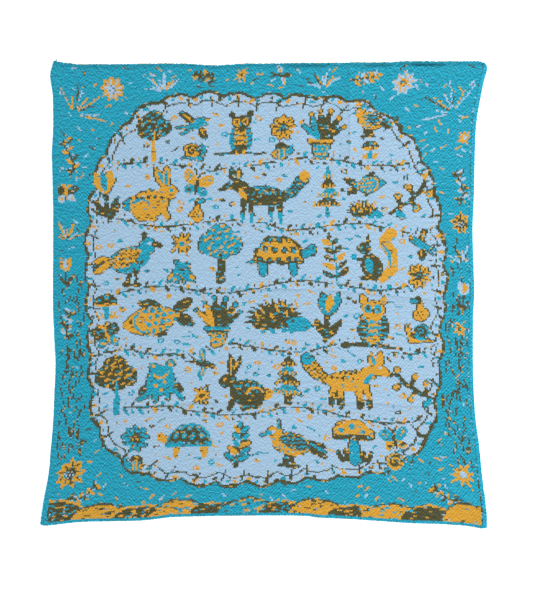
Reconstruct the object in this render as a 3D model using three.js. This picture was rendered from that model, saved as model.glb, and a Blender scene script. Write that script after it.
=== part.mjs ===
// Knitted baby blanket, one piece of double cloth, lying flat with its pictured face up.
// Millimetres, +Z up. X runs across the blanket and Y along it, from the bound-off
// end towards the cast-on end. The origin is under the middle of its box, on the
// surface that it rests on.

import * as THREE from "three";
import { mergeVertices } from "three/addons/utils/BufferGeometryUtils.js";

// Driving dimensions
const WIDTH = 826;
const LENGTH = 892;
const THICKNESS = 3;
const EDGE_ROUND = 0.9;
const COLUMNS = 44;
const ROWS = 52;

// A swell lower than this lies flat on the floor
const RESTS_BELOW = 0.25;

const KNIT_COLOUR = 0x6fa9bf;

// How far each side stands out past the nominal rectangle. "part" is the share of
// the side's length, from the bottom up or from the left on.
const LEFT_SIDE = [
  { part: 0.0, out: 25.5 },
  { part: 0.05, out: 19.5 },
  { part: 0.085, out: 13.5 },
  { part: 0.12, out: 8.5 },
  { part: 0.15, out: 6.5 },
  { part: 0.21, out: 1.6 },
  { part: 0.28, out: -1.5 },
  { part: 0.345, out: -4.1 },
  { part: 0.41, out: -0.9 },
  { part: 0.47, out: 1.2 },
  { part: 0.67, out: 1.0 },
  { part: 0.8, out: 3.0 },
  { part: 0.86, out: 0.9 },
  { part: 0.93, out: 2.0 },
  { part: 0.97, out: 6.1 },
  { part: 1.0, out: -0.7 },
];
const RIGHT_SIDE = [
  { part: 0.0, out: 26.5 },
  { part: 0.06, out: 23.3 },
  { part: 0.09, out: 19.5 },
  { part: 0.155, out: 13.3 },
  { part: 0.19, out: 9.9 },
  { part: 0.22, out: 5.8 },
  { part: 0.255, out: 2.8 },
  { part: 0.32, out: -0.2 },
  { part: 0.45, out: -0.5 },
  { part: 0.51, out: 1.8 },
  { part: 0.575, out: -0.2 },
  { part: 0.64, out: -1.7 },
  { part: 0.705, out: 0.7 },
  { part: 0.835, out: 3.6 },
  { part: 0.87, out: 5.6 },
  { part: 0.9, out: 9.2 },
  { part: 0.93, out: 14.4 },
  { part: 0.965, out: 21.1 },
  { part: 0.99, out: 26.9 },
  { part: 1.0, out: 24.6 },
];
const BOTTOM_SIDE = [
  { part: 0.0, out: 6.3 },
  { part: 0.012, out: 8.1 },
  { part: 0.05, out: 4.8 },
  { part: 0.087, out: 2.0 },
  { part: 0.154, out: 0.5 },
  { part: 0.222, out: -0.7 },
  { part: 0.256, out: -3.6 },
  { part: 0.289, out: -7.3 },
  { part: 0.357, out: -9.2 },
  { part: 0.424, out: -10.4 },
  { part: 0.592, out: -10.3 },
  { part: 0.626, out: -6.8 },
  { part: 0.693, out: -4.0 },
  { part: 0.761, out: 0.2 },
  { part: 0.828, out: 4.2 },
  { part: 0.895, out: 6.0 },
  { part: 0.963, out: 10.2 },
  { part: 0.99, out: 14.2 },
  { part: 1.0, out: 12.9 },
];
const TOP_SIDE = [
  { part: 0.0, out: 14.0 },
  { part: 0.025, out: 9.7 },
  { part: 0.06, out: 7.0 },
  { part: 0.129, out: 7.3 },
  { part: 0.233, out: 8.5 },
  { part: 0.303, out: 8.4 },
  { part: 0.338, out: 6.5 },
  { part: 0.372, out: 5.2 },
  { part: 0.407, out: 6.6 },
  { part: 0.442, out: 8.3 },
  { part: 0.616, out: 9.5 },
  { part: 0.686, out: 10.7 },
  { part: 0.755, out: 10.6 },
  { part: 0.825, out: 12.5 },
  { part: 0.894, out: 12.7 },
  { part: 0.973, out: 14.1 },
  { part: 0.987, out: 12.8 },
  { part: 1.0, out: 9.9 },
];

// Creases left by folding: soft ridges from one end to the other, bowed sideways to
// the left of that direction, with their height and the half width of the ridge.
const CREASES = [
  { name: "middle fold, left part", from: [-425, 8], to: [150, 7], bow: 3, rise: 3.0, spread: 13 },
  { name: "middle fold, right part", from: [90, 8], to: [425, -24], bow: 4, rise: 3.0, spread: 13 },
  { name: "lower fold", from: [-425, -238], to: [425, -231], bow: 22, rise: 2.6, spread: 12 },
  { name: "short fold at the right", from: [262, 215], to: [428, 209], bow: 0, rise: 3.2, spread: 13 },
  { name: "short fold at the left", from: [-430, 273], to: [-345, 277], bow: 0, rise: 3.4, spread: 14 },
  { name: "faint cross fold", from: [-190, 102], to: [45, 105], bow: 0, rise: 1.6, spread: 13 },
  { name: "upper fold, right", from: [167, 462], to: [169, 245], bow: 0, rise: 2.2, spread: 13 },
  { name: "upper fold, middle", from: [-27, 462], to: [-24, 275], bow: 0, rise: 2.0, spread: 14 },
  { name: "upper fold, left", from: [-123, 462], to: [-121, 255], bow: 0, rise: 1.8, spread: 13 },
  { name: "corner fold", from: [350, -378], to: [455, -440], bow: 0, rise: 5.0, spread: 15 },
];

// How much of a crease's length it takes to die away at each end
const CREASE_FADE = 0.16;

// Places where the cloth doesn't lie quite flat on the floor
const SWELLS = [
  { name: "bottom left corner", at: [-440, -455], reach: 60, rise: 6.0 },
  { name: "top left corner", at: [-415, 460], reach: 40, rise: 4.0 },
  { name: "top right corner", at: [440, 458], reach: 45, rise: 3.0 },
  { name: "bottom right corner", at: [442, -462], reach: 40, rise: 4.0 },
  { name: "top edge, middle", at: [70, 462], reach: 36, rise: 3.0 },
  { name: "top edge, right", at: [300, 464], reach: 48, rise: 3.5 },
  { name: "left edge", at: [-430, -120], reach: 42, rise: 2.5 },
  { name: "right edge", at: [425, 90], reach: 50, rise: 2.0 },
  { name: "bottom edge", at: [110, -446], reach: 50, rise: 2.0 },
];

// Slope of a side's outline at one of its rows
function slopeAt(side, row) {
  const before = side[Math.max(row - 1, 0)];
  const after = side[Math.min(row + 1, side.length - 1)];
  return (after.out - before.out) / (after.part - before.part);
}

// A side's outward reach at a share of its length, on a smooth curve through its rows
function reachAt(side, part) {
  let next = 1;
  while (next < side.length - 1 && side[next].part < part) {
    next += 1;
  }
  const before = side[next - 1];
  const after = side[next];
  const span = after.part - before.part;
  const step = (part - before.part) / span;
  const rise = after.out - before.out;
  const leave = slopeAt(side, next - 1) * span - rise;
  const arrive = slopeAt(side, next) * span - rise;
  return before.out + step * rise + step * (1 - step) * ((1 - step) * leave - step * arrive);
}

// Place on the floor of the cloth's point at the shares u across and v along it
function placeOnFloor(u, v) {
  const left = -WIDTH / 2 - reachAt(LEFT_SIDE, v);
  const right = WIDTH / 2 + reachAt(RIGHT_SIDE, v);
  const bottom = -LENGTH / 2 - reachAt(BOTTOM_SIDE, u);
  const top = LENGTH / 2 + reachAt(TOP_SIDE, u);
  return new THREE.Vector2(THREE.MathUtils.lerp(left, right, u), THREE.MathUtils.lerp(bottom, top, v));
}

// Height of one crease at a place
function creaseHeight(crease, place) {
  const start = new THREE.Vector2(...crease.from);
  const run = new THREE.Vector2(...crease.to).sub(start);
  const length = run.length();
  run.normalize();
  const offset = place.clone().sub(start);
  const along = offset.dot(run) / length;
  if (along <= 0 || along >= 1) {
    return 0;
  }
  const aside = run.cross(offset) - crease.bow * 4 * along * (1 - along);
  const fade = THREE.MathUtils.smoothstep(Math.min(along, 1 - along), 0, CREASE_FADE);
  return crease.rise * fade * Math.exp(-((aside / crease.spread) ** 2));
}

// Height of one swell at a place
function swellHeight(swell, place) {
  const distance = place.distanceTo(new THREE.Vector2(...swell.at));
  return swell.rise * Math.exp(-((distance / swell.reach) ** 2));
}

// How high the underside stands off the floor at a place
function liftAt(place) {
  let lift = 0;
  for (const crease of CREASES) {
    lift = Math.max(lift, creaseHeight(crease, place));
  }
  for (const swell of SWELLS) {
    lift += swellHeight(swell, place);
  }
  return Math.max(0, lift - RESTS_BELOW);
}

// The panel starts as a finely divided plate, two steps thick, so that its rim can
// be rounded, and each point of it is taken to its place on the cloth.
function makePanelGeometry() {
  let plate = new THREE.BoxGeometry(1, 1, 1, COLUMNS, ROWS, 2);
  plate.deleteAttribute("normal");
  plate.deleteAttribute("uv");
  plate = mergeVertices(plate, 1e-6);
  const points = plate.getAttribute("position");
  for (let i = 0; i < points.count; i += 1) {
    const level = points.getZ(i) + 0.5;
    const place = placeOnFloor(points.getX(i) + 0.5, points.getY(i) + 0.5);
    const lift = liftAt(place);
    const inset = Math.abs(level - 0.5) * 2 * EDGE_ROUND;
    const keepX = 1 - (2 * inset) / WIDTH;
    const keepY = 1 - (2 * inset) / LENGTH;
    points.setXYZ(i, place.x * keepX, place.y * keepY, lift + level * THICKNESS);
  }
  plate.computeBoundingBox();
  const middle = plate.boundingBox.getCenter(new THREE.Vector3());
  plate.translate(-middle.x, -middle.y, -plate.boundingBox.min.z);
  plate.computeVertexNormals();
  return plate;
}

const knitMaterial = new THREE.MeshStandardMaterial({
  name: "knitted_cotton",
  color: KNIT_COLOUR,
  roughness: 0.92,
  metalness: 0,
});

const panel = new THREE.Mesh(makePanelGeometry(), knitMaterial);
panel.name = "blanket_panel";

const blanket = new THREE.Group();
blanket.name = "baby_blanket";
blanket.add(panel);

export default blanket;
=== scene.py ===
import math

import bmesh
import bpy
import numpy as np
from bpy.props import FloatProperty, FloatVectorProperty, IntProperty, PointerProperty
from mathutils import Matrix, Vector


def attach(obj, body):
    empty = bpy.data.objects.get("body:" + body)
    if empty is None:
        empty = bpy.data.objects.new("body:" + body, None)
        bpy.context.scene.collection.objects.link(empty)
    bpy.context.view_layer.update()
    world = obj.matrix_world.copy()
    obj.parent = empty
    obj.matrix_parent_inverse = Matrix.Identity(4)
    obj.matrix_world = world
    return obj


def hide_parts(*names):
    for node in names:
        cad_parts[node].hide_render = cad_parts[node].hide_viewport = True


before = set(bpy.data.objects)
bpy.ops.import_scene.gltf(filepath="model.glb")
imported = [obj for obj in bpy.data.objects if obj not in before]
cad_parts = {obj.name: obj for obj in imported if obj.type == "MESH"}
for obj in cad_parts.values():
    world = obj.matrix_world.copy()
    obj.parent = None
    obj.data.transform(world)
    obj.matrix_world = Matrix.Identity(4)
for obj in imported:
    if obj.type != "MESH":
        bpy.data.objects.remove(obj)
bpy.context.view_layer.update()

bl_info = {
    "name": "Knitted baby blanket",
    "version": (1, 0, 0),
    "blender": (4, 5, 0),
    "location": "3D View > Sidebar > Blanket",
    "description": "A four-colour double-knit baby blanket spread out flat",
    "category": "Add Mesh",
}

PANEL_NODE = "blanket_panel"
BODY = "root"

# Shapes of the cloth are worked out in millimetres and go into the meshes in metres
MM = 0.001
WIDTH = 826
LENGTH = 892
THICKNESS = 3
EDGE_ROUND = 0.9

# Stitches across and along the cloth, and the stitches in one cell of its mesh
WALES = 256
COURSES = 384
CELL = 2

# A swell lower than this lies flat on the floor
RESTS_BELOW = 0.25

# The yarns, by the number that the chart holds
YARN_NAMES = ("Pale", "Teal", "Ochre", "Olive")
YARN_COUNT = len(YARN_NAMES)
PALE, TEAL, OCHRE, OLIVE = range(YARN_COUNT)

# How much steadier than the rest, or less steady, a yarn's stitches are in tone
STEADY_YARNS = ((PALE, 0.45), (TEAL, -0.3), (OCHRE, 0.33), (OLIVE, -0.2))

# A stitch in relief, where a round leg is 1 high: the height of its plies and of the fuzz,
# and the fuzz's middle height
PLY_HEIGHT = 0.07
FUZZ_HEIGHT = 0.35
FUZZ_MIDDLE = 0.17

# How much lighter or darker the slanting lines of painted light and shade on the stitches' legs, the single
# stitches and the long streaks are
LEG_SHADE_TONE = 0.19
SINGLE_TONE = 0.5
STREAK_TONE = 0.08

# Rows by the cloth's edges that are darker or lighter, most of them painted shade and painted light where the
# edges roll:
# counted in stitches across or along the cloth, where the change starts, where it is full, and the change
EDGE_SHADE_AND_LIGHT = (
    # painted shade on the last courses before the cast-on end, where the top edge rolls away
    ("along", COURSES - 5.0, COURSES - 1.5, -0.2),
    # painted shade in the groove beside the right selvedge, and painted light on the rolled selvedge
    ("across", WALES - 2.8, WALES - 2.3, -0.28),
    ("across", WALES - 2.2, WALES - 1.7, 0.55),
    # the first course after the bound-off end
    ("along", 1.3, 0.9, 0.12),
)

# Added before a division is cut to a whole number, so that rounding can't make it 1 less
KEEPS_WHOLE = 0.0004

# Strands of yarn at the edges: radius of the arc and its turn in degrees, thickness beside
# that of the edge yarn, and steps along the arc
STRANDS = {
    "cast_on_loop": (2.3, 190, 1.0, 8),
    "cast_on_fleck": (3.4, 56, 0.8, 4),
    "chain_link": (5.0, 44, 1.15, 8),
    "chain_fleck": (5.5, 30, 0.75, 5),
    "selvedge_loop": (2.6, 110, 1.0, 6),
    "ochre_end": (16, 24, 0.6, 8),
    "olive_end": (22, 14, 0.6, 8),
}
STRAND_SIDES = 8
TWISTS_PER_MM = 0.45
STRAND_RELIEF = 0.0004

# Shares of the cast-on loops and of the chain's links that have a fleck of another yarn,
# the share of the top edge that has flecks, and the share of those that are ochre
LOOPS_WITH_FLECK = 0.7
LINKS_WITH_FLECK = 0.5
FLECKED_TOP = 0.93
OCHRE_FLECKS = 0.7

# The floor and the lamp, in metres
FLOOR_HALF = 6
FLOOR_GAP = 0.0002
LAMP_SIZE = 1.5
LAMP_PLACE = (1.9, 0.4, 2.4)

# Slight unevenness of the upper face: wavelengths, waves of each, and their height as a
# share of the wavelength
UNEVEN_WAVES = (150, 96, 61, 38, 24)
WAVES_EACH = 4
UNEVEN_SHARE = 0.0011

# How far each side stands out past the nominal rectangle: the share of the side's
# length, from the bottom up or from the left on, and the reach there.
LEFT_SIDE = (
    (0.0, 25.5), (0.05, 19.5), (0.085, 13.5), (0.12, 8.5), (0.15, 6.5), (0.21, 1.6),
    (0.28, -1.5), (0.345, -4.1), (0.41, -0.9), (0.47, 1.2), (0.67, 1.0), (0.8, 3.0),
    (0.86, 0.9), (0.93, 2.0), (0.97, 6.1), (1.0, -0.7),
)
RIGHT_SIDE = (
    (0.0, 26.5), (0.06, 23.3), (0.09, 19.5), (0.155, 13.3), (0.19, 9.9), (0.22, 5.8), (0.255, 2.8),
    (0.32, -0.2), (0.45, -0.5), (0.51, 1.8), (0.575, -0.2), (0.64, -1.7), (0.705, 0.7), (0.835, 3.6),
    (0.87, 5.6), (0.9, 9.2), (0.93, 14.4), (0.965, 21.1), (0.99, 26.9), (1.0, 24.6),
)
BOTTOM_SIDE = (
    (0.0, 6.3), (0.012, 8.1), (0.05, 4.8), (0.087, 2.0), (0.154, 0.5), (0.222, -0.7), (0.256, -3.6),
    (0.289, -7.3), (0.357, -9.2), (0.424, -10.4), (0.592, -10.3), (0.626, -6.8), (0.693, -4.0),
    (0.761, 0.2), (0.828, 4.2), (0.895, 6.0), (0.963, 10.2), (0.99, 14.2), (1.0, 12.9),
)
TOP_SIDE = (
    (0.0, 14.0), (0.025, 9.7), (0.06, 7.0), (0.129, 7.3), (0.233, 8.5), (0.303, 8.4), (0.338, 6.5),
    (0.372, 5.2), (0.407, 6.6), (0.442, 8.3), (0.616, 9.5), (0.686, 10.7), (0.755, 10.6), (0.825, 12.5),
    (0.894, 12.7), (0.973, 13.2), (0.987, 12.6), (1.0, 8.0),
)

# Creases left by folding: start, end, sideways bow to the left of that direction,
# height and half width of the ridge.
CREASES = (
    # middle fold, left and right part
    ((-425, 8), (150, 7), 3, 3.0, 13),
    ((90, 8), (425, -24), 4, 3.0, 13),
    # lower fold
    ((-425, -238), (425, -231), 22, 2.6, 12),
    # short folds at the right and the left
    ((262, 215), (428, 209), 0, 3.2, 13),
    ((-430, 273), (-345, 277), 0, 3.4, 14),
    # faint cross fold
    ((-190, 102), (45, 105), 0, 1.6, 13),
    # upright folds at the top, right, middle and left
    ((167, 462), (169, 245), 0, 2.2, 13),
    ((-27, 462), (-24, 275), 0, 2.0, 14),
    ((-123, 462), (-121, 255), 0, 1.8, 13),
    # fold at the bottom right corner
    ((350, -378), (455, -440), 0, 5.0, 15),
)

# How much of a crease's length it takes to die away at each end
CREASE_FADE = 0.16

# A crease shows as a fine line of painted shade with a painted highlight as its rim: its half width, how dark
# the shade is for each millimetre of height, and the highlight's share of that
CREASE_SHADE_HALF_WIDTH = 2.6
CREASE_SHADE_PER_MM = 0.05
CREASE_HIGHLIGHT_SHARE = 0.4

# Painted shadows, as dark dashes beside the top edge under the folds where the cloth is pinched: start, end,
# half width, dark
PINCH_SHADOWS = (
    ((40, 450.6), (131, 450.6), 4.0, 0.32),
    ((198, 450.8), (257, 450.8), 3.2, 0.34),
    ((265, 453.6), (345, 453.6), 3.2, 0.2),
    ((288, 451.6), (362, 452.0), 2.7, 0.58),
)

# Places where the cloth doesn't lie quite flat: middle, reach and height
SWELLS = (
    # corners: bottom left, top left, top right, bottom right
    ((-440, -455), 60, 6.0),
    ((-415, 460), 40, 4.0),
    ((440, 458), 45, 3.0),
    ((442, -462), 40, 4.0),
    # along the top edge, then the left, right and bottom edges
    ((70, 462), 36, 3.0),
    ((300, 464), 48, 3.5),
    ((-430, -120), 42, 2.5),
    ((425, 90), 50, 2.0),
    ((110, -446), 50, 2.0),
)


def reach_at(side, part):
    """How far a side stands out at shares of its length, on a smooth curve through its rows."""
    parts, outs = np.array(side).T
    ends = np.arange(len(side))
    before = np.maximum(ends - 1, 0)
    after = np.minimum(ends + 1, len(side) - 1)
    slopes = (outs[after] - outs[before]) / (parts[after] - parts[before])
    row = np.clip(np.searchsorted(parts, part), 1, len(side) - 1)
    span = parts[row] - parts[row - 1]
    step = (part - parts[row - 1]) / span
    rise = outs[row] - outs[row - 1]
    leave = slopes[row - 1] * span - rise
    arrive = slopes[row] * span - rise
    return outs[row - 1] + step * rise + step * (1 - step) * ((1 - step) * leave - step * arrive)


def place_on_floor(u, v):
    """Where the cloth's points at the shares u across and v along it lie on the floor."""
    left = -WIDTH / 2 - reach_at(LEFT_SIDE, v)
    right = WIDTH / 2 + reach_at(RIGHT_SIDE, v)
    bottom = -LENGTH / 2 - reach_at(BOTTOM_SIDE, u)
    top = LENGTH / 2 + reach_at(TOP_SIDE, u)
    return left + (right - left) * u, bottom + (top - bottom) * v


def smooth_step(share):
    """0 below a share of 0 and 1 above 1, with a smooth rise between them."""
    share = np.clip(share, 0, 1)
    return share * share * (3 - 2 * share)


def crease_height(crease, x, y):
    """Height of one crease at places on the floor."""
    start, end, bow, rise, spread = crease
    run_x = end[0] - start[0]
    run_y = end[1] - start[1]
    length = math.hypot(run_x, run_y)
    run_x /= length
    run_y /= length
    along = ((x - start[0]) * run_x + (y - start[1]) * run_y) / length
    aside = run_x * (y - start[1]) - run_y * (x - start[0]) - bow * 4 * along * (1 - along)
    fade = smooth_step(np.minimum(along, 1 - along) / CREASE_FADE)
    return rise * fade * np.exp(-((aside / spread) ** 2))


def lift_at(x, y):
    """How high the underside stands off the floor at places on it."""
    lift = np.zeros(np.shape(x))
    for crease in CREASES:
        lift = np.maximum(lift, crease_height(crease, x, y))
    for middle, reach, rise in SWELLS:
        distance = np.hypot(x - middle[0], y - middle[1])
        lift = lift + rise * np.exp(-((distance / reach) ** 2))
    return np.maximum(0, lift - RESTS_BELOW)


def find_middle():
    """The middle of the cloth's box on the floor, which is the frame's origin."""
    share = np.linspace(0, 1, 400)
    edge = np.zeros(400)
    sides = [(edge, share), (edge + 1, share), (share, edge), (share, edge + 1)]
    places = [place_on_floor(u, v) for u, v in sides]
    x = np.concatenate([place[0] for place in places])
    y = np.concatenate([place[1] for place in places])
    return (x.min() + x.max()) / 2, (y.min() + y.max()) / 2


MIDDLE_X, MIDDLE_Y = find_middle()


def place_in_frame(u, v, level):
    """Points of the cloth in metres: shares across and along it and height above its underside."""
    x, y = place_on_floor(u, v)
    z = lift_at(x, y) + level
    return np.stack([x - MIDDLE_X, y - MIDDLE_Y, z], axis=-1) * MM

# The hand that drew the chart: how its lines waver, in rows of wavelength and height, the
# wavelength of the breaks in its pen lines, and half the width of its thinnest line
WAVERS = ((38, 2.6), (9, 1.4))
PEN_BREAKS = 12
PEN = 2.1


class Chart:
    """The knitting chart: a yarn number for each stitch, drawn with shapes in millimetres."""

    def __init__(self):
        self.rng = np.random.default_rng(11)
        across = ((np.arange(WALES) + 0.5) / WALES - 0.5) * WIDTH
        along = ((np.arange(COURSES) + 0.5) / COURSES - 0.5) * LENGTH
        self.flat_x, self.flat_y = np.meshgrid(across, along)
        self.x = self.wavering(self.flat_x)
        self.y = self.wavering(self.flat_y)
        self.yarn = np.full(self.x.shape, TEAL)
        self.busy = np.zeros(self.x.shape, bool)
        self.pen = self.ripple(PEN_BREAKS, 1)

    def wavering(self, places):
        """Places on the cloth, moved as a hand-drawn outline wavers."""
        for wave, height in WAVERS:
            places = places + self.ripple(wave, height)
        return places

    def ripple(self, wave, height):
        """Smooth uneven values over the cloth, with a wavelength and a height."""
        knots = self.rng.uniform(-height, height, (LENGTH // wave + 3, WIDTH // wave + 3))
        down = (self.flat_y + LENGTH / 2) / wave
        right = (self.flat_x + WIDTH / 2) / wave
        j = down.astype(int)
        i = right.astype(int)
        fy = smooth_step(down - j)
        fx = smooth_step(right - i)
        low = knots[j, i] * (1 - fx) + knots[j, i + 1] * fx
        high = knots[j + 1, i] * (1 - fx) + knots[j + 1, i + 1] * fx
        return low * (1 - fy) + high * fy

    def near(self, x, y, reach):
        """The rows and columns of stitches that lie within a reach of a place."""
        window = []
        for middle, size, count in ((y, LENGTH, COURSES), (x, WIDTH, WALES)):
            first = int((middle - reach + size / 2) / size * count)
            last = int((middle + reach + size / 2) / size * count)
            window.append(slice(max(first, 0), max(last + 2, 0)))
        return tuple(window)


class Spot:
    """A part of the chart with its own coordinates: 1 is the size given, from the middle given."""

    def __init__(self, chart, x, y, size=1.0, turn=0, flip=False, reach=None):
        self.chart = chart
        self.window = chart.near(x, y, 1.1 * size + 8 if reach is None else reach)
        angle = math.radians(turn)
        dx = (chart.x[self.window] - x) / size
        dy = (chart.y[self.window] - y) / size
        self.x = dx * math.cos(angle) + dy * math.sin(angle)
        self.y = dy * math.cos(angle) - dx * math.sin(angle)
        self.thin = PEN / size
        if flip:
            self.x = -self.x

    def fill(self, mask, yarn, on=None):
        """Knits the stitches of a mask in one yarn, or only those over the yarn named by on."""
        stitches = self.chart.yarn[self.window]
        if on is not None:
            mask = mask & (stitches == on)
        stitches[mask] = yarn
        self.chart.busy[self.window] |= mask

    def disc(self, x, y, wide, high=None, turn=0):
        """An ellipse with the half width and half height given."""
        high = wide if high is None else high
        angle = math.radians(turn)
        dx = self.x - x
        dy = self.y - y
        a = dx * math.cos(angle) + dy * math.sin(angle)
        b = dy * math.cos(angle) - dx * math.sin(angle)
        return (a / wide) ** 2 + (b / high) ** 2 < 1

    def beside(self, start, end):
        """Each stitch's share of the way from start to end, and its distance from that line."""
        dx = end[0] - start[0]
        dy = end[1] - start[1]
        along = ((self.x - start[0]) * dx + (self.y - start[1]) * dy) / (dx * dx + dy * dy)
        share = np.clip(along, 0, 1)
        gap = np.hypot(self.x - start[0] - share * dx, self.y - start[1] - share * dy)
        return along, share, gap

    def taper(self, start, end, first, last=None):
        """A bar from start to end whose half width runs from first to last."""
        last = first if last is None else last
        _, share, gap = self.beside(start, end)
        return gap < first + (last - first) * share

    def blade(self, start, end, wide):
        """A pointed leaf from start to end."""
        along, share, gap = self.beside(start, end)
        return (along > 0) & (along < 1) & (gap < wide * np.sin(math.pi * share) ** 0.8)

    def dots(self, step, share=0.3):
        """Round dots in staggered rows, a step apart, with a radius of a share of it."""
        row = np.floor(self.y / step)
        across = self.x / step + 0.5 * (row % 2)
        return np.hypot(across % 1 - 0.5, self.y / step % 1 - 0.5) < share

    def rows(self, step, share=0.3, wave=0.0):
        """Level stripes a step apart, each as thick as a share of it, with waves if given."""
        level = self.y / step + wave * np.sin(2 * math.pi * self.x / step)
        return level % 1 < share

    def strand(self, points, first, last=None):
        """A line through several points, with a half width from first to last."""
        last = first if last is None else last
        steps = len(points) - 1
        mask = np.zeros(self.x.shape, bool)
        for i in range(steps):
            here = first + (last - first) * i / steps
            there = first + (last - first) * (i + 1) / steps
            mask |= self.taper(points[i], points[i + 1], here, there)
        return mask


def arc(x, y, radius, start, end, steps=8):
    """Points on a round arc, with its angles in degrees."""
    angles = np.radians(np.linspace(start, end, steps))
    return [(x + radius * math.cos(a), y + radius * math.sin(a)) for a in angles]


# Each motif is drawn about its middle, with x to the right and y upwards, and 1 is its
# size. All take the same three yarns, whether they use them or not: that of the body, that
# of the wings, leaves or stem, and that of the marks.
def draw_bird(spot, body, wing, mark):
    thin = spot.thin
    spot.fill(spot.taper((-0.02, -0.2), (-0.06, -0.52), thin), OLIVE)
    spot.fill(spot.taper((0.12, -0.2), (0.12, -0.52), thin), OLIVE)
    spot.fill(spot.strand([(-0.14, -0.52), (0.0, -0.5), (0.24, -0.52)], thin), OLIVE)
    for spread in (0.12, 0.0, -0.12):
        spot.fill(spot.blade((-0.28, 0.0), (-0.8, -0.16 + spread), 0.07), wing if spread else mark)
    spot.fill(spot.disc(0, 0, 0.42, 0.25, 14), body)
    spot.fill(spot.disc(0.1, -0.08, 0.24, 0.12, 14) & spot.dots(0.12), mark)
    spot.fill(spot.disc(0.36, 0.26, 0.17), body)
    spot.fill(spot.strand([(0.3, 0.4), (0.26, 0.54)], thin), mark)
    spot.fill(spot.taper((0.5, 0.27), (0.72, 0.22), 0.06, 0.0), mark)
    feathers = spot.blade((-0.44, -0.12), (0.24, 0.18), 0.17)
    spot.fill(feathers, wing)
    spot.fill(feathers & spot.rows(0.1, 0.34, 0.2), mark)
    spot.fill(spot.disc(0.4, 0.3, max(0.045, thin)), PALE)


def draw_swallow(spot, body, wing, mark):
    spot.fill(spot.blade((-0.05, 0.02), (-0.42, 0.62), 0.12), wing)
    spot.fill(spot.blade((0.0, -0.02), (0.1, -0.66), 0.13), wing)
    spot.fill(spot.taper((-0.3, 0.0), (-0.75, 0.16), 0.07, 0.02), body)
    spot.fill(spot.taper((-0.3, 0.0), (-0.75, -0.14), 0.07, 0.02), body)
    spot.fill(spot.blade((-0.45, 0.0), (0.45, 0.04), 0.15), body)
    spot.fill(spot.disc(0.32, 0.04, 0.12), body)
    spot.fill(spot.taper((0.42, 0.04), (0.6, 0.03), 0.05, 0.0), mark)
    spot.fill(spot.blade((-0.1, 0.1), (-0.34, 0.5), 0.04), mark)
    spot.fill(spot.blade((0.04, -0.12), (0.1, -0.54), 0.04), mark)


def draw_butterfly(spot, body, wing, mark):
    thin = spot.thin
    for side in (-1, 1):
        spot.fill(spot.disc(0.3 * side, 0.2, 0.32, 0.2, 38 * side), wing)
        spot.fill(spot.disc(0.23 * side, -0.2, 0.2, 0.16, -40 * side), mark)
        spot.fill(spot.disc(0.36 * side, 0.26, 0.15, 0.09, 38 * side) & spot.dots(0.1, 0.36), mark)
        spot.fill(spot.disc(0.24 * side, -0.22, 0.08), body)
        spot.fill(spot.strand([(0.02 * side, 0.28), (0.1 * side, 0.44), (0.2 * side, 0.5)], thin), body)
    spot.fill(spot.blade((0, -0.36), (0, 0.34), 0.07), body)


def draw_fish(spot, body, wing, mark):
    thin = spot.thin
    spot.fill(spot.blade((-0.34, 0), (-0.76, 0.26), 0.1), wing)
    spot.fill(spot.blade((-0.34, 0), (-0.76, -0.26), 0.1), wing)
    spot.fill(spot.blade((-0.24, 0.14), (0.22, 0.4), 0.1), wing)
    spot.fill(spot.blade((0.1, -0.1), (-0.14, -0.36), 0.07), wing)
    side = spot.blade((-0.5, 0), (0.6, 0), 0.27)
    spot.fill(side, body)
    spot.fill(side & (spot.x < 0.2) & spot.dots(0.13, 0.34), mark)
    spot.fill(spot.strand(arc(0.14, 0, 0.22, -62, 62, 5), thin) & side, mark)
    spot.fill(spot.disc(0.42, 0.05, max(0.04, thin)), OLIVE if body != OLIVE else PALE)


def draw_rabbit(spot, body, wing, mark):
    spot.fill(spot.disc(-0.52, -0.1, 0.13), mark)
    coat = spot.disc(-0.08, -0.08, 0.42, 0.3, 8)
    spot.fill(coat, body)
    spot.fill(spot.disc(-0.24, -0.16, 0.23, 0.22), body)
    spot.fill(coat & (spot.y > -0.04) & spot.dots(0.14), wing)
    spot.fill(spot.disc(0.36, 0.2, 0.2, 0.16, -12), body)
    for tip in ((0.06, 0.76), (0.34, 0.82)):
        spot.fill(spot.blade((0.3, 0.26), tip, 0.09), body)
        spot.fill(spot.blade((0.3, 0.34), (0.7 * tip[0] + 0.09, 0.68), 0.04), mark)
    spot.fill(spot.taper((0.2, -0.14), (0.34, -0.42), 0.08, 0.06), body)
    spot.fill(spot.taper((-0.3, -0.34), (0.02, -0.4), 0.08, 0.06), body)
    spot.fill(spot.strand(arc(-0.24, -0.16, 0.2, 20, 150, 6), spot.thin), mark)
    spot.fill(spot.disc(0.42, 0.24, max(0.035, spot.thin)), mark)


def draw_hedgehog(spot, body, wing, mark):
    thin = spot.thin
    for i in range(13):
        angle = math.radians(12 + 14 * i)
        tip = (0.62 * math.cos(angle) - 0.04, 0.5 * math.sin(angle) - 0.1)
        spot.fill(spot.taper((0.3 * math.cos(angle), 0.2 * math.sin(angle)), tip, 0.07, 0.01), body)
    spot.fill(spot.disc(-0.04, -0.04, 0.46, 0.32) & (spot.y > -0.2), body)
    spot.fill(spot.blade((0.2, -0.1), (0.74, -0.14), 0.15), mark)
    spot.fill(spot.disc(0.74, -0.13, max(0.04, thin)), OLIVE)
    for i in range(9):
        x = -0.36 + 0.1 * i
        y = 0.02 + 0.12 * (i % 3)
        spot.fill(spot.taper((x, y), (x - 0.05, y + 0.1), thin), wing)
    for x in (-0.26, -0.08, 0.16, 0.3):
        spot.fill(spot.disc(x, -0.24, 0.06, 0.05), mark)


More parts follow.
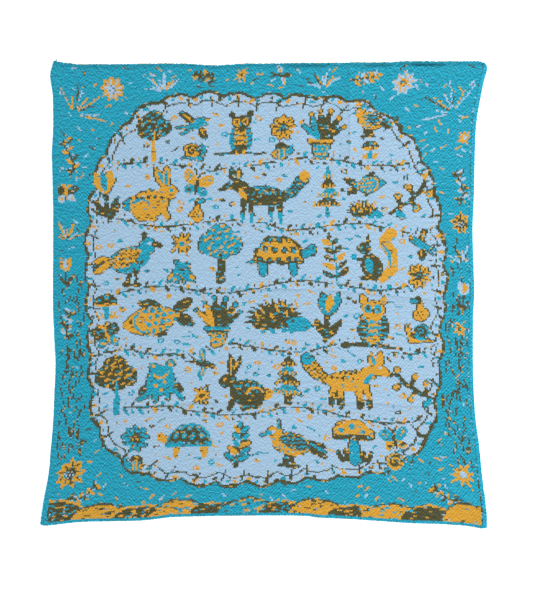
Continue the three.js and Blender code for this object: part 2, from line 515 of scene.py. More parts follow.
def draw_snail(spot, body, wing, mark):
    thin = spot.thin
    spot.fill(spot.taper((-0.6, -0.36), (0.42, -0.36), 0.03, 0.1), mark)
    spot.fill(spot.taper((0.42, -0.34), (0.58, 0.04), 0.1, 0.08), mark)
    spot.fill(spot.strand([(0.58, 0.06), (0.68, 0.26)], thin), mark)
    spot.fill(spot.strand([(0.54, 0.06), (0.5, 0.28)], thin), mark)
    spot.fill(spot.disc(-0.06, 0.0, 0.38, 0.36), body)
    turns = []
    for t in np.linspace(0, 0.92, 24):
        turns.append((0.3 * (1 - t) * math.cos(9.5 * t) - 0.06, 0.29 * (1 - t) * math.sin(9.5 * t)))
    spot.fill(spot.strand(turns, thin * 1.2), wing)


def draw_tulip(spot, body, wing, mark):
    thin = spot.thin
    spot.fill(spot.strand([(0.02, -0.7), (0.0, -0.3), (0, 0.2)], thin * 1.2), wing)
    spot.fill(spot.blade((0.02, -0.66), (0.36, -0.06), 0.09), wing)
    spot.fill(spot.blade((0.0, -0.6), (-0.32, -0.1), 0.08), wing)
    spot.fill(spot.blade((-0.06, 0.08), (-0.24, 0.66), 0.14), body)
    spot.fill(spot.blade((0.06, 0.08), (0.24, 0.66), 0.14), body)
    spot.fill(spot.disc(0, 0.26, 0.22, 0.2), body)
    spot.fill(spot.blade((0, 0.1), (0, 0.62), 0.11), mark)


def draw_daisy(spot, body, wing, mark):
    petals = 9
    for i in range(petals):
        angle = 2 * math.pi * i / petals + 0.2
        tip = (0.56 * math.cos(angle), 0.56 * math.sin(angle))
        spot.fill(spot.blade((0.12 * tip[0], 0.12 * tip[1]), tip, 0.14), body)
        ray = spot.taper((0.4 * tip[0], 0.4 * tip[1]), (0.74 * tip[0], 0.74 * tip[1]), spot.thin * 0.7)
        spot.fill(ray, wing)
    spot.fill(spot.disc(0, 0, 0.2), wing)
    spot.fill(spot.disc(0, 0, 0.16) & spot.dots(0.11), mark)


def draw_sprig(spot, body, wing, mark):
    pairs = 5
    line = [(0.1 * math.sin(3 * t), -0.7 + 1.4 * t) for t in np.linspace(0, 1, 7)]
    spot.fill(spot.strand(line, spot.thin * 1.2, spot.thin), wing)
    for i in range(pairs):
        share = (i + 0.8) / (pairs + 0.6)
        x = 0.1 * math.sin(3 * share)
        y = -0.7 + 1.4 * share
        long = 0.44 * (1 - 0.5 * share)
        for side in (-1, 1):
            tip = (x + side * long, y + long * 0.62)
            spot.fill(spot.blade((x, y - 0.04), tip, 0.085), body if (i + side) % 3 else mark)
    spot.fill(spot.blade((line[-1][0], 0.6), (line[-1][0], 0.86), 0.08), body)


def draw_berries(spot, body, wing, mark):
    thin = spot.thin
    spot.fill(spot.strand([(-0.6, -0.4), (-0.1, -0.1), (0.3, 0.3), (0.5, 0.6)], thin * 1.2), wing)
    stalks = (
        ((-0.3, -0.2), (-0.4, 0.14)),
        ((0.0, 0.0), (0.2, -0.26)),
        ((0.14, 0.14), (-0.1, 0.44)),
        ((0.36, 0.38), (0.6, 0.2)),
        ((0.5, 0.6), (0.46, 0.8)),
    )
    for foot, berry in stalks:
        spot.fill(spot.strand([foot, berry], thin), wing)
        spot.fill(spot.disc(berry[0], berry[1], 0.1), body)
        spot.fill(spot.disc(berry[0] - 0.02, berry[1] + 0.03, thin), mark)
    spot.fill(spot.blade((-0.46, -0.32), (-0.14, -0.6), 0.1), mark)


def draw_mushroom(spot, body, wing, mark):
    spot.fill(spot.taper((0.0, -0.5), (0.0, 0.1), 0.13, 0.09), mark)
    spot.fill(spot.disc(0, 0.08, 0.5, 0.42) & (spot.y > 0.04), body)
    spot.fill(spot.disc(0, 0.05, 0.5, 0.07), wing)
    for x, y, r in ((-0.26, 0.22, 0.07), (0.02, 0.34, 0.08), (0.26, 0.2, 0.06)):
        spot.fill(spot.disc(x, y, r), mark)
    for x in (-0.3, -0.16, 0.18, 0.32):
        spot.fill(spot.taper((x, -0.52), (x * 1.3, -0.3), spot.thin), wing)


def draw_tree(spot, body, wing, mark):
    thin = spot.thin
    spot.fill(spot.taper((0, -0.75), (0, 0.1), 0.08, 0.05), wing)
    spot.fill(spot.strand([(0, -0.2), (-0.2, 0.06)], thin * 1.4), wing)
    spot.fill(spot.strand([(0, -0.14), (0.2, 0.1)], thin * 1.4), wing)
    crown = np.zeros(spot.x.shape, bool)
    for x, y, r in ((0, 0.36, 0.34), (-0.28, 0.16, 0.26), (0.28, 0.18, 0.27), (0.0, 0.1, 0.3)):
        crown |= spot.disc(x, y, r)
    spot.fill(crown, body)
    for i in range(22):
        angle = 2.4 * i
        reach = 0.09 * math.sqrt(i + 1)
        x = reach * math.cos(angle)
        y = 0.24 + reach * math.sin(angle)
        spot.fill(spot.taper((x, y), (x + 0.05, y + 0.04), thin) & crown, mark)
    spot.fill(spot.taper((0, -0.5), (0, 0.05), thin), wing)


def draw_fir(spot, body, wing, mark):
    spot.fill(spot.taper((0, -0.7), (0, -0.3), 0.06), wing)
    for i in range(4):
        y = -0.42 + 0.28 * i
        half = 0.42 - 0.09 * i
        tier = (np.abs(spot.x) < half * (1 - (spot.y - y) / 0.4)) & (spot.y > y) & (spot.y < y + 0.4)
        spot.fill(tier, body if i % 2 == 0 else wing)
        for x in np.arange(-half, half, 0.12):
            spot.fill(spot.taper((x, y), (x + 0.03, y + 0.08), spot.thin), mark)


def draw_star(spot, body, wing, mark):
    rays = 9
    for i in range(rays):
        angle = 2 * math.pi * i / rays + 0.3
        reach = 0.6 if i % 2 else 0.44
        spot.fill(spot.taper((0, 0), (reach * math.cos(angle), reach * math.sin(angle)), 0.12, 0.01), body)
    spot.fill(spot.disc(0, 0, 0.13), wing)


def draw_fox(spot, body, wing, mark):
    brush = spot.strand([(-0.4, -0.02), (-0.62, 0.08), (-0.82, 0.34)], 0.09, 0.13)
    spot.fill(brush, body)
    spot.fill(brush & spot.rows(0.1, 0.36, 0.3), wing)
    spot.fill(spot.disc(-0.85, 0.42, 0.11, 0.13), mark)
    for x, lean in ((-0.34, -0.04), (-0.22, 0.03), (0.2, -0.03), (0.32, 0.05)):
        spot.fill(spot.taper((x, -0.06), (x + lean, -0.4), 0.07, 0.04), body)
        spot.fill(spot.taper((x + 0.7 * lean, -0.36), (x + lean, -0.5), 0.045, 0.04), wing)
    back = spot.disc(-0.04, 0.0, 0.44, 0.2, 4)
    spot.fill(back, body)
    spot.fill(back & (spot.y > 0.0) & spot.dots(0.11, 0.28), wing)
    spot.fill(spot.taper((0.3, 0.1), (0.52, 0.26), 0.14, 0.12), body)
    spot.fill(spot.taper((0.56, 0.26), (0.84, 0.16), 0.12, 0.02), body)
    spot.fill(spot.blade((0.46, 0.3), (0.42, 0.58), 0.08), body)
    spot.fill(spot.blade((0.6, 0.32), (0.62, 0.6), 0.08), body)
    spot.fill(spot.blade((0.47, 0.34), (0.44, 0.52), 0.035), mark)
    spot.fill(spot.blade((0.28, -0.06), (0.46, 0.18), 0.06), mark)
    spot.fill(spot.disc(0.84, 0.16, max(0.035, spot.thin)), OLIVE)
    spot.fill(spot.disc(0.6, 0.29, max(0.03, spot.thin)), PALE if body != PALE else OLIVE)


def draw_tortoise(spot, body, wing, mark):
    thin = spot.thin
    for x in (-0.36, 0.3):
        spot.fill(spot.taper((x, -0.1), (x + 0.03, -0.36), 0.09, 0.07), mark)
    spot.fill(spot.taper((0.4, -0.06), (0.68, 0.12), 0.07, 0.1), mark)
    spot.fill(spot.taper((-0.46, -0.12), (-0.66, -0.18), 0.04, 0.01), mark)
    shell = spot.disc(0, -0.12, 0.52, 0.48) & (spot.y > -0.14)
    spot.fill(shell, body)
    spot.fill(shell & spot.dots(0.2, 0.34), wing)
    spot.fill(shell & spot.dots(0.2, 0.13), mark)
    spot.fill(spot.strand(arc(0, -0.12, 0.5, 8, 172, 10), thin), wing)
    spot.fill(spot.strand([(-0.5, -0.13), (0.5, -0.13)], thin * 1.3), wing)
    spot.fill(spot.disc(0.7, 0.15, thin), OLIVE if mark != OLIVE else PALE)


def draw_frog(spot, body, wing, mark):
    spot.fill(spot.disc(-0.3, -0.18, 0.22, 0.14, 30), wing)
    spot.fill(spot.disc(0.3, -0.18, 0.22, 0.14, -30), wing)
    spot.fill(spot.disc(0, -0.04, 0.34, 0.28), body)
    spot.fill(spot.disc(0, 0.2, 0.27, 0.17), body)
    for side in (-1, 1):
        spot.fill(spot.disc(0.17 * side, 0.36, 0.1), body)
        spot.fill(spot.disc(0.17 * side, 0.37, 0.05), mark)
        spot.fill(spot.taper((0.28 * side, -0.24), (0.5 * side, -0.4), 0.06, 0.04), body)
        spot.fill(spot.taper((0.12 * side, -0.2), (0.14 * side, -0.42), 0.05), body)
    spot.fill(spot.strand(arc(0, 0.26, 0.17, 205, 335, 6), spot.thin), mark)
    for x, y in ((-0.12, -0.08), (0.1, -0.02), (0.0, -0.2)):
        spot.fill(spot.disc(x, y, 0.05), mark)


def draw_bee(spot, body, wing, mark):
    spot.fill(spot.disc(-0.1, 0.28, 0.26, 0.13, 60), wing)
    spot.fill(spot.disc(0.16, 0.28, 0.24, 0.12, 110), wing)
    spot.fill(spot.disc(0, 0, 0.42, 0.24), body)
    for x in (-0.2, 0.0, 0.2):
        spot.fill(spot.taper((x, -0.2), (x + 0.03, 0.2), max(0.035, spot.thin)), mark)
    spot.fill(spot.disc(0.42, 0.04, 0.14), mark)
    spot.fill(spot.strand([(0.46, 0.14), (0.6, 0.3)], spot.thin), mark)


def draw_pear(spot, body, wing, mark):
    spot.fill(spot.disc(0, -0.16, 0.32, 0.3), body)
    spot.fill(spot.taper((0, -0.1), (0.02, 0.3), 0.25, 0.12), body)
    spot.fill(spot.strand([(0.02, 0.38), (0.08, 0.6)], spot.thin * 1.3), wing)
    spot.fill(spot.blade((0.06, 0.46), (0.42, 0.56), 0.1), mark)
    spot.fill(spot.disc(0.02, -0.14, 0.22) & spot.dots(0.14, 0.22), wing)


def draw_potted(spot, body, wing, mark):
    thin = spot.thin
    pot = (np.abs(spot.x) < 0.2 + 0.16 * (spot.y + 0.7)) & (spot.y > -0.7) & (spot.y < -0.18)
    for angle in (-52, -28, -6, 18, 42, 62):
        a = math.radians(90 - angle)
        tip = (0.72 * math.cos(a), -0.2 + 0.84 * math.sin(a))
        spot.fill(spot.blade((0, -0.22), tip, 0.075), wing if angle % 4 else body)
        spot.fill(spot.disc(tip[0], tip[1], 0.055), mark)
    spot.fill(pot, body)
    spot.fill(pot & (spot.y < -0.3) & spot.dots(0.13), mark)
    spot.fill(spot.taper((-0.3, -0.22), (0.3, -0.22), 0.05), mark)
    spot.fill(spot.taper((-0.28, -0.3), (0.28, -0.3), thin), wing)


def draw_owl(spot, body, wing, mark):
    thin = spot.thin
    spot.fill(spot.strand([(-0.7, -0.56), (-0.1, -0.5), (0.7, -0.58)], 0.05, 0.03), OLIVE)
    spot.fill(spot.disc(0, -0.06, 0.32, 0.44), body)
    spot.fill(spot.disc(0, 0.34, 0.3, 0.2), body)
    spot.fill(spot.blade((-0.2, 0.42), (-0.3, 0.68), 0.08), body)
    spot.fill(spot.blade((0.2, 0.42), (0.3, 0.68), 0.08), body)
    for side in (-1, 1):
        spot.fill(spot.disc(0.13 * side, 0.34, 0.11), mark)
        spot.fill(spot.disc(0.13 * side, 0.34, 0.045), OLIVE)
        feathers = spot.blade((0.26 * side, 0.2), (0.22 * side, -0.46), 0.12)
        spot.fill(feathers, wing)
        spot.fill(feathers & spot.rows(0.11, 0.3), OLIVE if wing != OLIVE else TEAL)
        spot.fill(spot.taper((0.1 * side, -0.46), (0.1 * side, -0.56), thin), mark)
    spot.fill(spot.taper((0, 0.3), (0, 0.2), 0.045, 0.0), wing)
    for j in range(3):
        for i in range(-1, 2):
            spot.fill(spot.strand(arc(0.12 * i, 0.06 - 0.14 * j, 0.05, 180, 360, 4), thin), mark)


def draw_squirrel(spot, body, wing, mark):
    tail = [(-0.24, -0.4), (-0.5, -0.2), (-0.52, 0.16), (-0.3, 0.44), (-0.46, 0.62)]
    spot.fill(spot.strand(tail, 0.12, 0.15), wing)
    spot.fill(spot.disc(0.02, -0.16, 0.26, 0.32, -12), body)
    spot.fill(spot.disc(0.2, 0.28, 0.18, 0.15), body)
    spot.fill(spot.blade((0.12, 0.36), (0.08, 0.6), 0.06), body)
    spot.fill(spot.taper((0.14, 0.0), (0.38, 0.02), 0.06, 0.04), body)
    spot.fill(spot.disc(0.44, 0.06, 0.08), mark)
    spot.fill(spot.taper((-0.06, -0.44), (0.28, -0.46), 0.07, 0.05), body)
    spot.fill(spot.disc(0.24, 0.32, max(0.03, spot.thin)), mark)
    spot.fill(spot.strand([(-0.42, -0.1), (-0.42, 0.2), (-0.26, 0.4)], spot.thin * 1.2), mark)
    spot.fill(spot.disc(0.08, -0.14, 0.1, 0.18), mark)


def draw_spray(spot, body, wing, mark):
    """A fan of dotted stalks, as grasses and seed heads have."""
    for i in range(9):
        angle = math.radians(26 + 16 * i + 5 * math.sin(4 * i))
        yarn = (body, wing, mark, body)[i % 4]
        long = 0.66 + 0.2 * math.sin(2.3 * i + 1)
        for reach in np.arange(0.16, long, 0.105):
            x = reach * math.cos(angle)
            y = reach * math.sin(angle) - 0.4
            end = (x + 0.055 * math.cos(angle), y + 0.055 * math.sin(angle))
            spot.fill(spot.taper((x, y), end, spot.thin * 0.75), yarn)


def draw_tendril(spot, body, wing, mark):
    """A curling stem with small leaves."""
    line = [(-0.06 + 0.16 * math.sin(4.2 * t), -0.8 + 1.1 * t) for t in np.linspace(0, 1, 9)]
    curl = []
    for t in np.linspace(0, 0.85, 10):
        turn = 5.5 * t + 3.4
        curl.append((0.14 * (1 - t) * math.cos(turn) - 0.04, 0.38 + 0.16 * (1 - t) * math.sin(turn)))
    spot.fill(spot.strand(line + curl, spot.thin), body)
    for i, (x, y) in enumerate(line[1:]):
        side = 1 if i % 2 else -1
        spot.fill(spot.blade((x, y), (x + 0.24 * side, y + 0.12), 0.06), wing if i % 3 else body)
        spot.fill(spot.disc(x - 0.1 * side, y, spot.thin), mark)


MOTIFS = {
    "bird": draw_bird,
    "swallow": draw_swallow,
    "butterfly": draw_butterfly,
    "fish": draw_fish,
    "rabbit": draw_rabbit,
    "hedgehog": draw_hedgehog,
    "snail": draw_snail,
    "tulip": draw_tulip,
    "daisy": draw_daisy,
    "sprig": draw_sprig,
    "berries": draw_berries,
    "mushroom": draw_mushroom,
    "tree": draw_tree,
    "fir": draw_fir,
    "star": draw_star,
    "fox": draw_fox,
    "tortoise": draw_tortoise,
    "frog": draw_frog,
    "bee": draw_bee,
    "pear": draw_pear,
    "potted": draw_potted,
    "owl": draw_owl,
    "squirrel": draw_squirrel,
    "spray": draw_spray,
    "tendril": draw_tendril,
}

# Bands of motifs across the clearing, from the top down: height of the middle, the
# width that the band fills, and its columns. A column holds one motif or two, one above
# the other, each with its kind, size, turn and flip, and its three yarns.
BANDS = (
    (306, 500, (
        (("tree", 66, 3, False, OLIVE, OCHRE, TEAL),),
        (("swallow", 50, 24, False, TEAL, OLIVE, OCHRE), ("snail", 38, 0, False, OCHRE, OLIVE, TEAL)),
        (("owl", 70, 0, False, OLIVE, TEAL, OCHRE),),
        (("daisy", 46, 0, False, OCHRE, OLIVE, TEAL), ("bee", 40, 10, False, OCHRE, OLIVE, TEAL)),
        (("potted", 70, 0, False, TEAL, OLIVE, OCHRE),),
        (("bird", 56, 0, True, OCHRE, OLIVE, TEAL), ("mushroom", 34, 0, False, OLIVE, OCHRE, TEAL)),
    )),
    (188, 664, (
        (("tulip", 74, 6, False, OCHRE, OLIVE, TEAL),),
        (("rabbit", 86, 0, False, OCHRE, OLIVE, TEAL),),
        (("butterfly", 56, -12, False, OLIVE, OCHRE, TEAL), ("pear", 44, 0, False, OCHRE, OLIVE, TEAL)),
        (("fox", 98, 0, True, OLIVE, TEAL, OCHRE),),
        (("fir", 66, 0, False, OLIVE, TEAL, OCHRE),),
        (("fish", 58, 8, False, TEAL, OLIVE, OCHRE), ("hedgehog", 54, 0, False, OLIVE, OCHRE, TEAL)),
        (("berries", 62, 0, False, OCHRE, OLIVE, TEAL),),
    )),
    (66, 672, (
        (("bird", 94, 0, False, TEAL, OCHRE, OLIVE),),
        (("star", 44, 0, False, OCHRE, TEAL, OLIVE), ("frog", 50, 0, False, TEAL, OCHRE, OLIVE)),
        (("tree", 78, -2, False, TEAL, OLIVE, OCHRE),),
        (("tortoise", 94, 0, False, OCHRE, OLIVE, TEAL),),
        (("sprig", 66, 8, False, OLIVE, TEAL, OCHRE),),
        (("squirrel", 80, 0, True, OLIVE, OCHRE, TEAL),),
        (("swallow", 46, 150, False, TEAL, OLIVE, OCHRE), ("daisy", 44, 0, False, OCHRE, OLIVE, TEAL)),
    )),
    (-56, 672, (
        (("mushroom", 46, 0, False, OLIVE, OCHRE, TEAL), ("butterfly", 48, 14, False, OCHRE, OLIVE, TEAL)),
        (("fish", 104, 10, True, OCHRE, OLIVE, TEAL),),
        (("potted", 72, 0, False, OCHRE, OLIVE, TEAL),),
        (("hedgehog", 98, 0, False, OLIVE, OCHRE, TEAL),),
        (("tulip", 70, -5, False, TEAL, OLIVE, OCHRE),),
        (("owl", 82, 0, False, OCHRE, OLIVE, TEAL),),
        (("pear", 42, 10, True, OCHRE, OLIVE, TEAL), ("snail", 44, 0, True, TEAL, OLIVE, OCHRE)),
    )),
    (-178, 668, (
        (("tree", 78, 2, False, OLIVE, TEAL, OCHRE),),
        (("frog", 84, 0, False, TEAL, OLIVE, OCHRE),),
        (("swallow", 50, -24, False, OLIVE, TEAL, OCHRE), ("star", 40, 0, False, OCHRE, OLIVE, TEAL)),
        (("rabbit", 88, 0, True, OLIVE, TEAL, OCHRE),),
        (("fir", 68, -3, False, TEAL, OLIVE, OCHRE),),
        (("fox", 98, 0, False, OCHRE, OLIVE, TEAL),),
        (("berries", 58, 10, True, OCHRE, OLIVE, TEAL),),
    )),
    (-302, 560, (
        (("daisy", 50, 0, False, TEAL, OLIVE, OCHRE), ("bee", 40, -8, True, OCHRE, OLIVE, TEAL)),
        (("tortoise", 84, 0, True, OLIVE, TEAL, OCHRE),),
        (("sprig", 60, -6, False, TEAL, OLIVE, OCHRE),),
        (("bird", 86, 0, True, OCHRE, OLIVE, TEAL),),
        (("mushroom", 78, 0, False, OCHRE, OLIVE, TEAL),),
        (("butterfly", 50, 10, False, OLIVE, TEAL, OCHRE), ("snail", 44, 0, False, OCHRE, OLIVE, TEAL)),
    )),
)
STACK_GAP = 8
COLUMN_SHIFT = 5

# Vines between the bands: height, waves and lean
VINES = (
    (248, 2.2, 9, 0.02),
    (128, 2.8, -9, -0.03),
    (6, 2.4, 10, 0.03),
    (-116, 3.0, -9, 0.02),
    (-240, 2.3, 9, -0.03),
)

# Motifs on the teal outside the clearing, with their places in millimetres
BORDER = (
    # top left corner and top edge
    ("spray", -352, 372, 74, -38, False, OCHRE, PALE, OLIVE),
    ("daisy", -296, 398, 42, 0, False, OCHRE, PALE, OLIVE),
    ("spray", -204, 408, 44, 14, False, PALE, OCHRE, PALE),
    ("sprig", -120, 420, 34, 82, False, OLIVE, OLIVE, OCHRE),
    ("star", -48, 424, 30, 0, False, OCHRE, OLIVE, PALE),
    ("swallow", 30, 422, 34, 0, False, OLIVE, PALE, OCHRE),
    ("spray", 106, 414, 40, 8, False, PALE, OCHRE, OLIVE),
    ("sprig", 186, 416, 38, -78, False, OCHRE, OLIVE, PALE),
    # top right corner
    ("daisy", 262, 404, 44, 0, False, PALE, OCHRE, OLIVE),
    ("spray", 348, 370, 78, 34, False, PALE, OCHRE, OLIVE),
    ("star", 392, 300, 32, 0, False, OCHRE, PALE, OLIVE),
    # left side, from the top down
    ("tendril", -378, 276, 60, 4, False, OLIVE, OCHRE, PALE),
    ("butterfly", -386, 192, 40, 0, False, OCHRE, OLIVE, PALE),
    ("spray", -386, 120, 42, 0, False, OCHRE, PALE, OCHRE),
    ("tulip", -388, 40, 46, 0, False, OCHRE, OLIVE, PALE),
    ("tendril", -386, -52, 52, 0, True, OLIVE, PALE, OCHRE),
    # right side
    ("tendril", 388, 214, 56, 0, False, OLIVE, PALE, OCHRE),
    ("daisy", 390, 136, 36, 0, False, OCHRE, OLIVE, PALE),
    ("spray", 390, 76, 40, 0, False, PALE, OCHRE, OLIVE),
    ("tulip", 392, -6, 44, 0, False, PALE, OLIVE, OCHRE),
    ("star", 390, -66, 30, 0, False, OCHRE, OLIVE, PALE),
    # bottom corners
    ("daisy", -372, -352, 52, 0, False, OCHRE, OLIVE, PALE),
    ("tendril", -330, -388, 50, -70, False, OLIVE, OCHRE, PALE),
    ("star", 376, -350, 52, 0, False, OCHRE, PALE, OLIVE),
    ("tendril", 330, -390, 50, 72, True, OLIVE, OCHRE, PALE),
)

# The pale clearing: half its width and height, how square it is, and its scallops
FIELD_WIDE = 346
FIELD_HIGH = 378
FIELD_POWER = 3.4
SCALLOPS = 38

# Its outline's half width, and the finer line inside it with its half width, as shares of
# the way out, and how far below 0 the pen's ripple goes before it lifts off the cloth
OUTLINE = 0.008
INNER_LINE = 0.958
INNER_OUTLINE = 0.0036
PEN_LIFTS = -0.4

# Steps along a vine from leaf to leaf
VINE_STEP = 14

# Dashes scratched into each mound and each side's bark, and the tries at a bit of filling
# in the clearing and outside it, most of which find no room
MOUND_DASHES = 18
BARK_DASHES = 170
INNER_BITS = 2600
OUTER_BITS = 1300

# Dashes of another yarn on the shapes: lowest random value, share, and the yarns under
# and in the dash
FLECKS = (
    (0.0, 0.035, OLIVE, TEAL),
    (0.1, 0.03, OLIVE, OCHRE),
    (0.2, 0.02, TEAL, OLIVE),
    (0.3, 0.02, OCHRE, OLIVE),
    (0.4, 0.01, OCHRE, TEAL),
)

# The share of stitches along the outlines that are knitted in a stray yarn
STRAY_SHARE = 0.06

# The size at which a motif's room is measured
ROOM_SIZE = 150

# Mounds of earth at the bottom of the cloth: middle, half width, height and yarn
MOUNDS = (
    (-384, 58, 46, OLIVE),
    (-300, 64, 34, OCHRE),
    (-228, 60, 30, OLIVE),
    (-160, 60, 36, OCHRE),
    (-92, 58, 28, OLIVE),
    (-30, 62, 34, TEAL),
    (38, 54, 30, OLIVE),
    (100, 60, 36, OCHRE),
    (170, 58, 30, OLIVE),
    (236, 60, 36, OCHRE),
    (306, 58, 34, OLIVE),
    (384, 56, 44, OCHRE),
)


def clearing(x, y):
    """1 on the scalloped edge of the pale clearing, less inside it and more outside."""
    angle = np.arctan2(y / FIELD_HIGH, x / FIELD_WIDE)
    wobble = 0.016 * np.sin(3 * angle + 1.9) + 0.01 * np.sin(7 * angle)
    lobes = 1 + wobble + 0.022 * np.abs(np.sin(SCALLOPS / 2 * angle + 0.4))
    shape = np.abs(x / FIELD_WIDE) ** FIELD_POWER + np.abs(y / FIELD_HIGH) ** FIELD_POWER
    return shape ** (1 / FIELD_POWER) / lobes


def edge_place(angle, share):
    """A point at a share of the way from the middle out to the clearing's edge."""
    x = FIELD_WIDE * math.cos(angle)
    y = FIELD_HIGH * math.sin(angle)
    reach = share / clearing(x, y)
    return x * reach, y * reach


def draw_edge(chart):
    """The pale clearing with its dark double outline and the bobbles along it."""
    field = clearing(chart.x, chart.y)
    chart.yarn[field < 1.0] = PALE
    wobble = chart.ripple(14, 0.006)
    whole = Spot(chart, 0, 0, reach=LENGTH)
    whole.fill(np.abs(field - 1.0 + wobble) < OUTLINE, OLIVE)
    whole.fill(np.abs(field - INNER_LINE - wobble) < INNER_OUTLINE, OLIVE, PALE)
    count = 4 * SCALLOPS
    for i in range(count):
        angle = 2 * math.pi * (i + 0.3 * math.sin(7 * i)) / count
        x, y = edge_place(angle, 0.98)
        spot = Spot(chart, x, y, reach=40)
        yarn = (OCHRE, TEAL, OLIVE, PALE, TEAL, OCHRE, PALE)[i % 7]
        spot.fill(spot.disc(0, 0, 4.4 + 1.8 * math.sin(3 * i), 3.4), yarn)
        if i % 3 == 0:
            inner_x, inner_y = edge_place(angle + 0.01, 0.93)
            spot.fill(spot.taper((0, 0), (inner_x - x, inner_y - y), 2.2, 1.2), OLIVE)


def grow(mask, steps=1):
    """A mask with the stitches next to it, that many steps out."""
    for _ in range(steps):
        wider = mask.copy()
        wider[1:] |= mask[:-1]
        wider[:-1] |= mask[1:]
        wider[:, 1:] |= mask[:, :-1]
        wider[:, :-1] |= mask[:, 1:]
        mask = wider
    return mask


def draw_motif(chart, kind, x, y, size, turn, flip, yarns, line=None):
    """One motif, with a broken pen line round it in the yarn named by line."""
    before = chart.busy.copy()
    MOTIFS[kind](Spot(chart, x, y, size, turn, flip), *yarns)
    if line is not None:
        rim = grow(chart.busy & ~before) & ~chart.busy & (chart.pen > PEN_LIFTS)
        chart.yarn[rim] = line
        chart.busy |= rim


def motif_rooms():
    """The room that each kind of motif takes at size 1: left, right, bottom and top."""
    rooms = {}
    plain = Chart()
    plain.x = plain.flat_x
    plain.y = plain.flat_y
    for kind, draw in MOTIFS.items():
        plain.busy[:] = False
        draw(Spot(plain, 0, 0, ROOM_SIZE), PALE, TEAL, OCHRE)
        rows, columns = np.nonzero(plain.busy)
        x = plain.x[0, columns] / ROOM_SIZE
        y = plain.y[rows, 0] / ROOM_SIZE
        rooms[kind] = (x.min(), x.max(), y.min(), y.max())
    return rooms


def draw_bands(chart):
    """The motifs of the clearing, evenly spaced in their bands."""
    rooms = motif_rooms()
    for level, span, columns in BANDS:
        widths = []
        for column in columns:
            widths.append(max((rooms[kind][1] - rooms[kind][0]) * size for kind, size, *_ in column))
        gap = (span - sum(widths)) / (len(columns) - 1)
        left = -span / 2
        for place, (column, width) in enumerate(zip(columns, widths)):
            heights = [(rooms[kind][3] - rooms[kind][2]) * size for kind, size, *_ in column]
            top = level + (sum(heights) + STACK_GAP * (len(column) - 1)) / 2
            top += COLUMN_SHIFT * math.sin(2.1 * place + level)
            for (kind, size, turn, flip, body, wing, mark), height in zip(column, heights):
                room = rooms[kind]
                side = -1 if flip else 1
                x = left + width / 2 - side * size * (room[0] + room[1]) / 2
                y = top - height / 2 - size * (room[2] + room[3]) / 2
                line = OLIVE if body != OLIVE else None
                draw_motif(chart, kind, x, y, size, turn, flip, (body, wing, mark), line)
                top -= height + STACK_GAP
            left += width + gap


def draw_vines(chart):
    """Wavy stems with leaves, from side to side behind the motifs."""
    free = (clearing(chart.x, chart.y) < 0.95) & ~grow(chart.busy, 2)
    half = FIELD_WIDE
    for level, waves, swing, lean in VINES:
        spot = Spot(chart, 0, level, reach=400)
        within = free[spot.window]
        places = []
        for x in range(-half, half + 1, VINE_STEP):
            places.append((x, swing * math.sin(waves * math.pi * x / half) + lean * x))
        spot.fill(spot.strand(places, 1.7) & within, OLIVE)
        for i, (x, y) in enumerate(places[1:-1]):
            side = 1 if i % 2 else -1
            leaf = spot.blade((x, y), (x + 10, y + 12 * side), 3.4)
            spot.fill(leaf & within, (OLIVE, TEAL, OLIVE, OCHRE, TEAL)[i % 5])
            spot.fill(spot.disc(x + 5, y - 8 * side, 2.2) & within, (OCHRE, OLIVE, TEAL)[i % 3])


def draw_ground(chart):
    """Low mounds of earth along the bottom of the cloth."""
    foot = -LENGTH / 2
    for i, (x, wide, high, yarn) in enumerate(MOUNDS):
        spot = Spot(chart, x, foot, reach=wide + 12)
        hill = spot.disc(0, 0, wide, high)
        spot.fill(hill, yarn)
        spot.fill(hill & ~spot.disc(0, 0, wide - 5, high - 4), OLIVE if yarn != OLIVE else OCHRE)
        for _ in range(MOUND_DASHES):
            a = (chart.rng.random() - 0.5) * 1.6 * wide
            b = chart.rng.random() * high
            dash = spot.taper((a, b), (a + 7, b + 2), 1.4) & hill
            spot.fill(dash, (OCHRE, TEAL, OLIVE)[(i + 1) % 3])


def draw_bark(chart):
    """Upright wavy dashes in the lower side borders."""
    for side, top in ((-1, 20), (1, 90)):
        for _ in range(BARK_DASHES):
            x = side * (352 + 56 * chart.rng.random())
            y = -335 + (top + 335) * chart.rng.random()
            long = 6 + 12 * chart.rng.random()
            lean = 3.5 * math.sin(y / 26 + x / 9)
            spot = Spot(chart, x, y, reach=24)
            dash = spot.taper((0, 0), (lean, long), 1.6)
            free = not (dash & chart.busy[spot.window]).any()
            if free and clearing(x, y) > 1.03:
                spot.fill(dash, OLIVE)


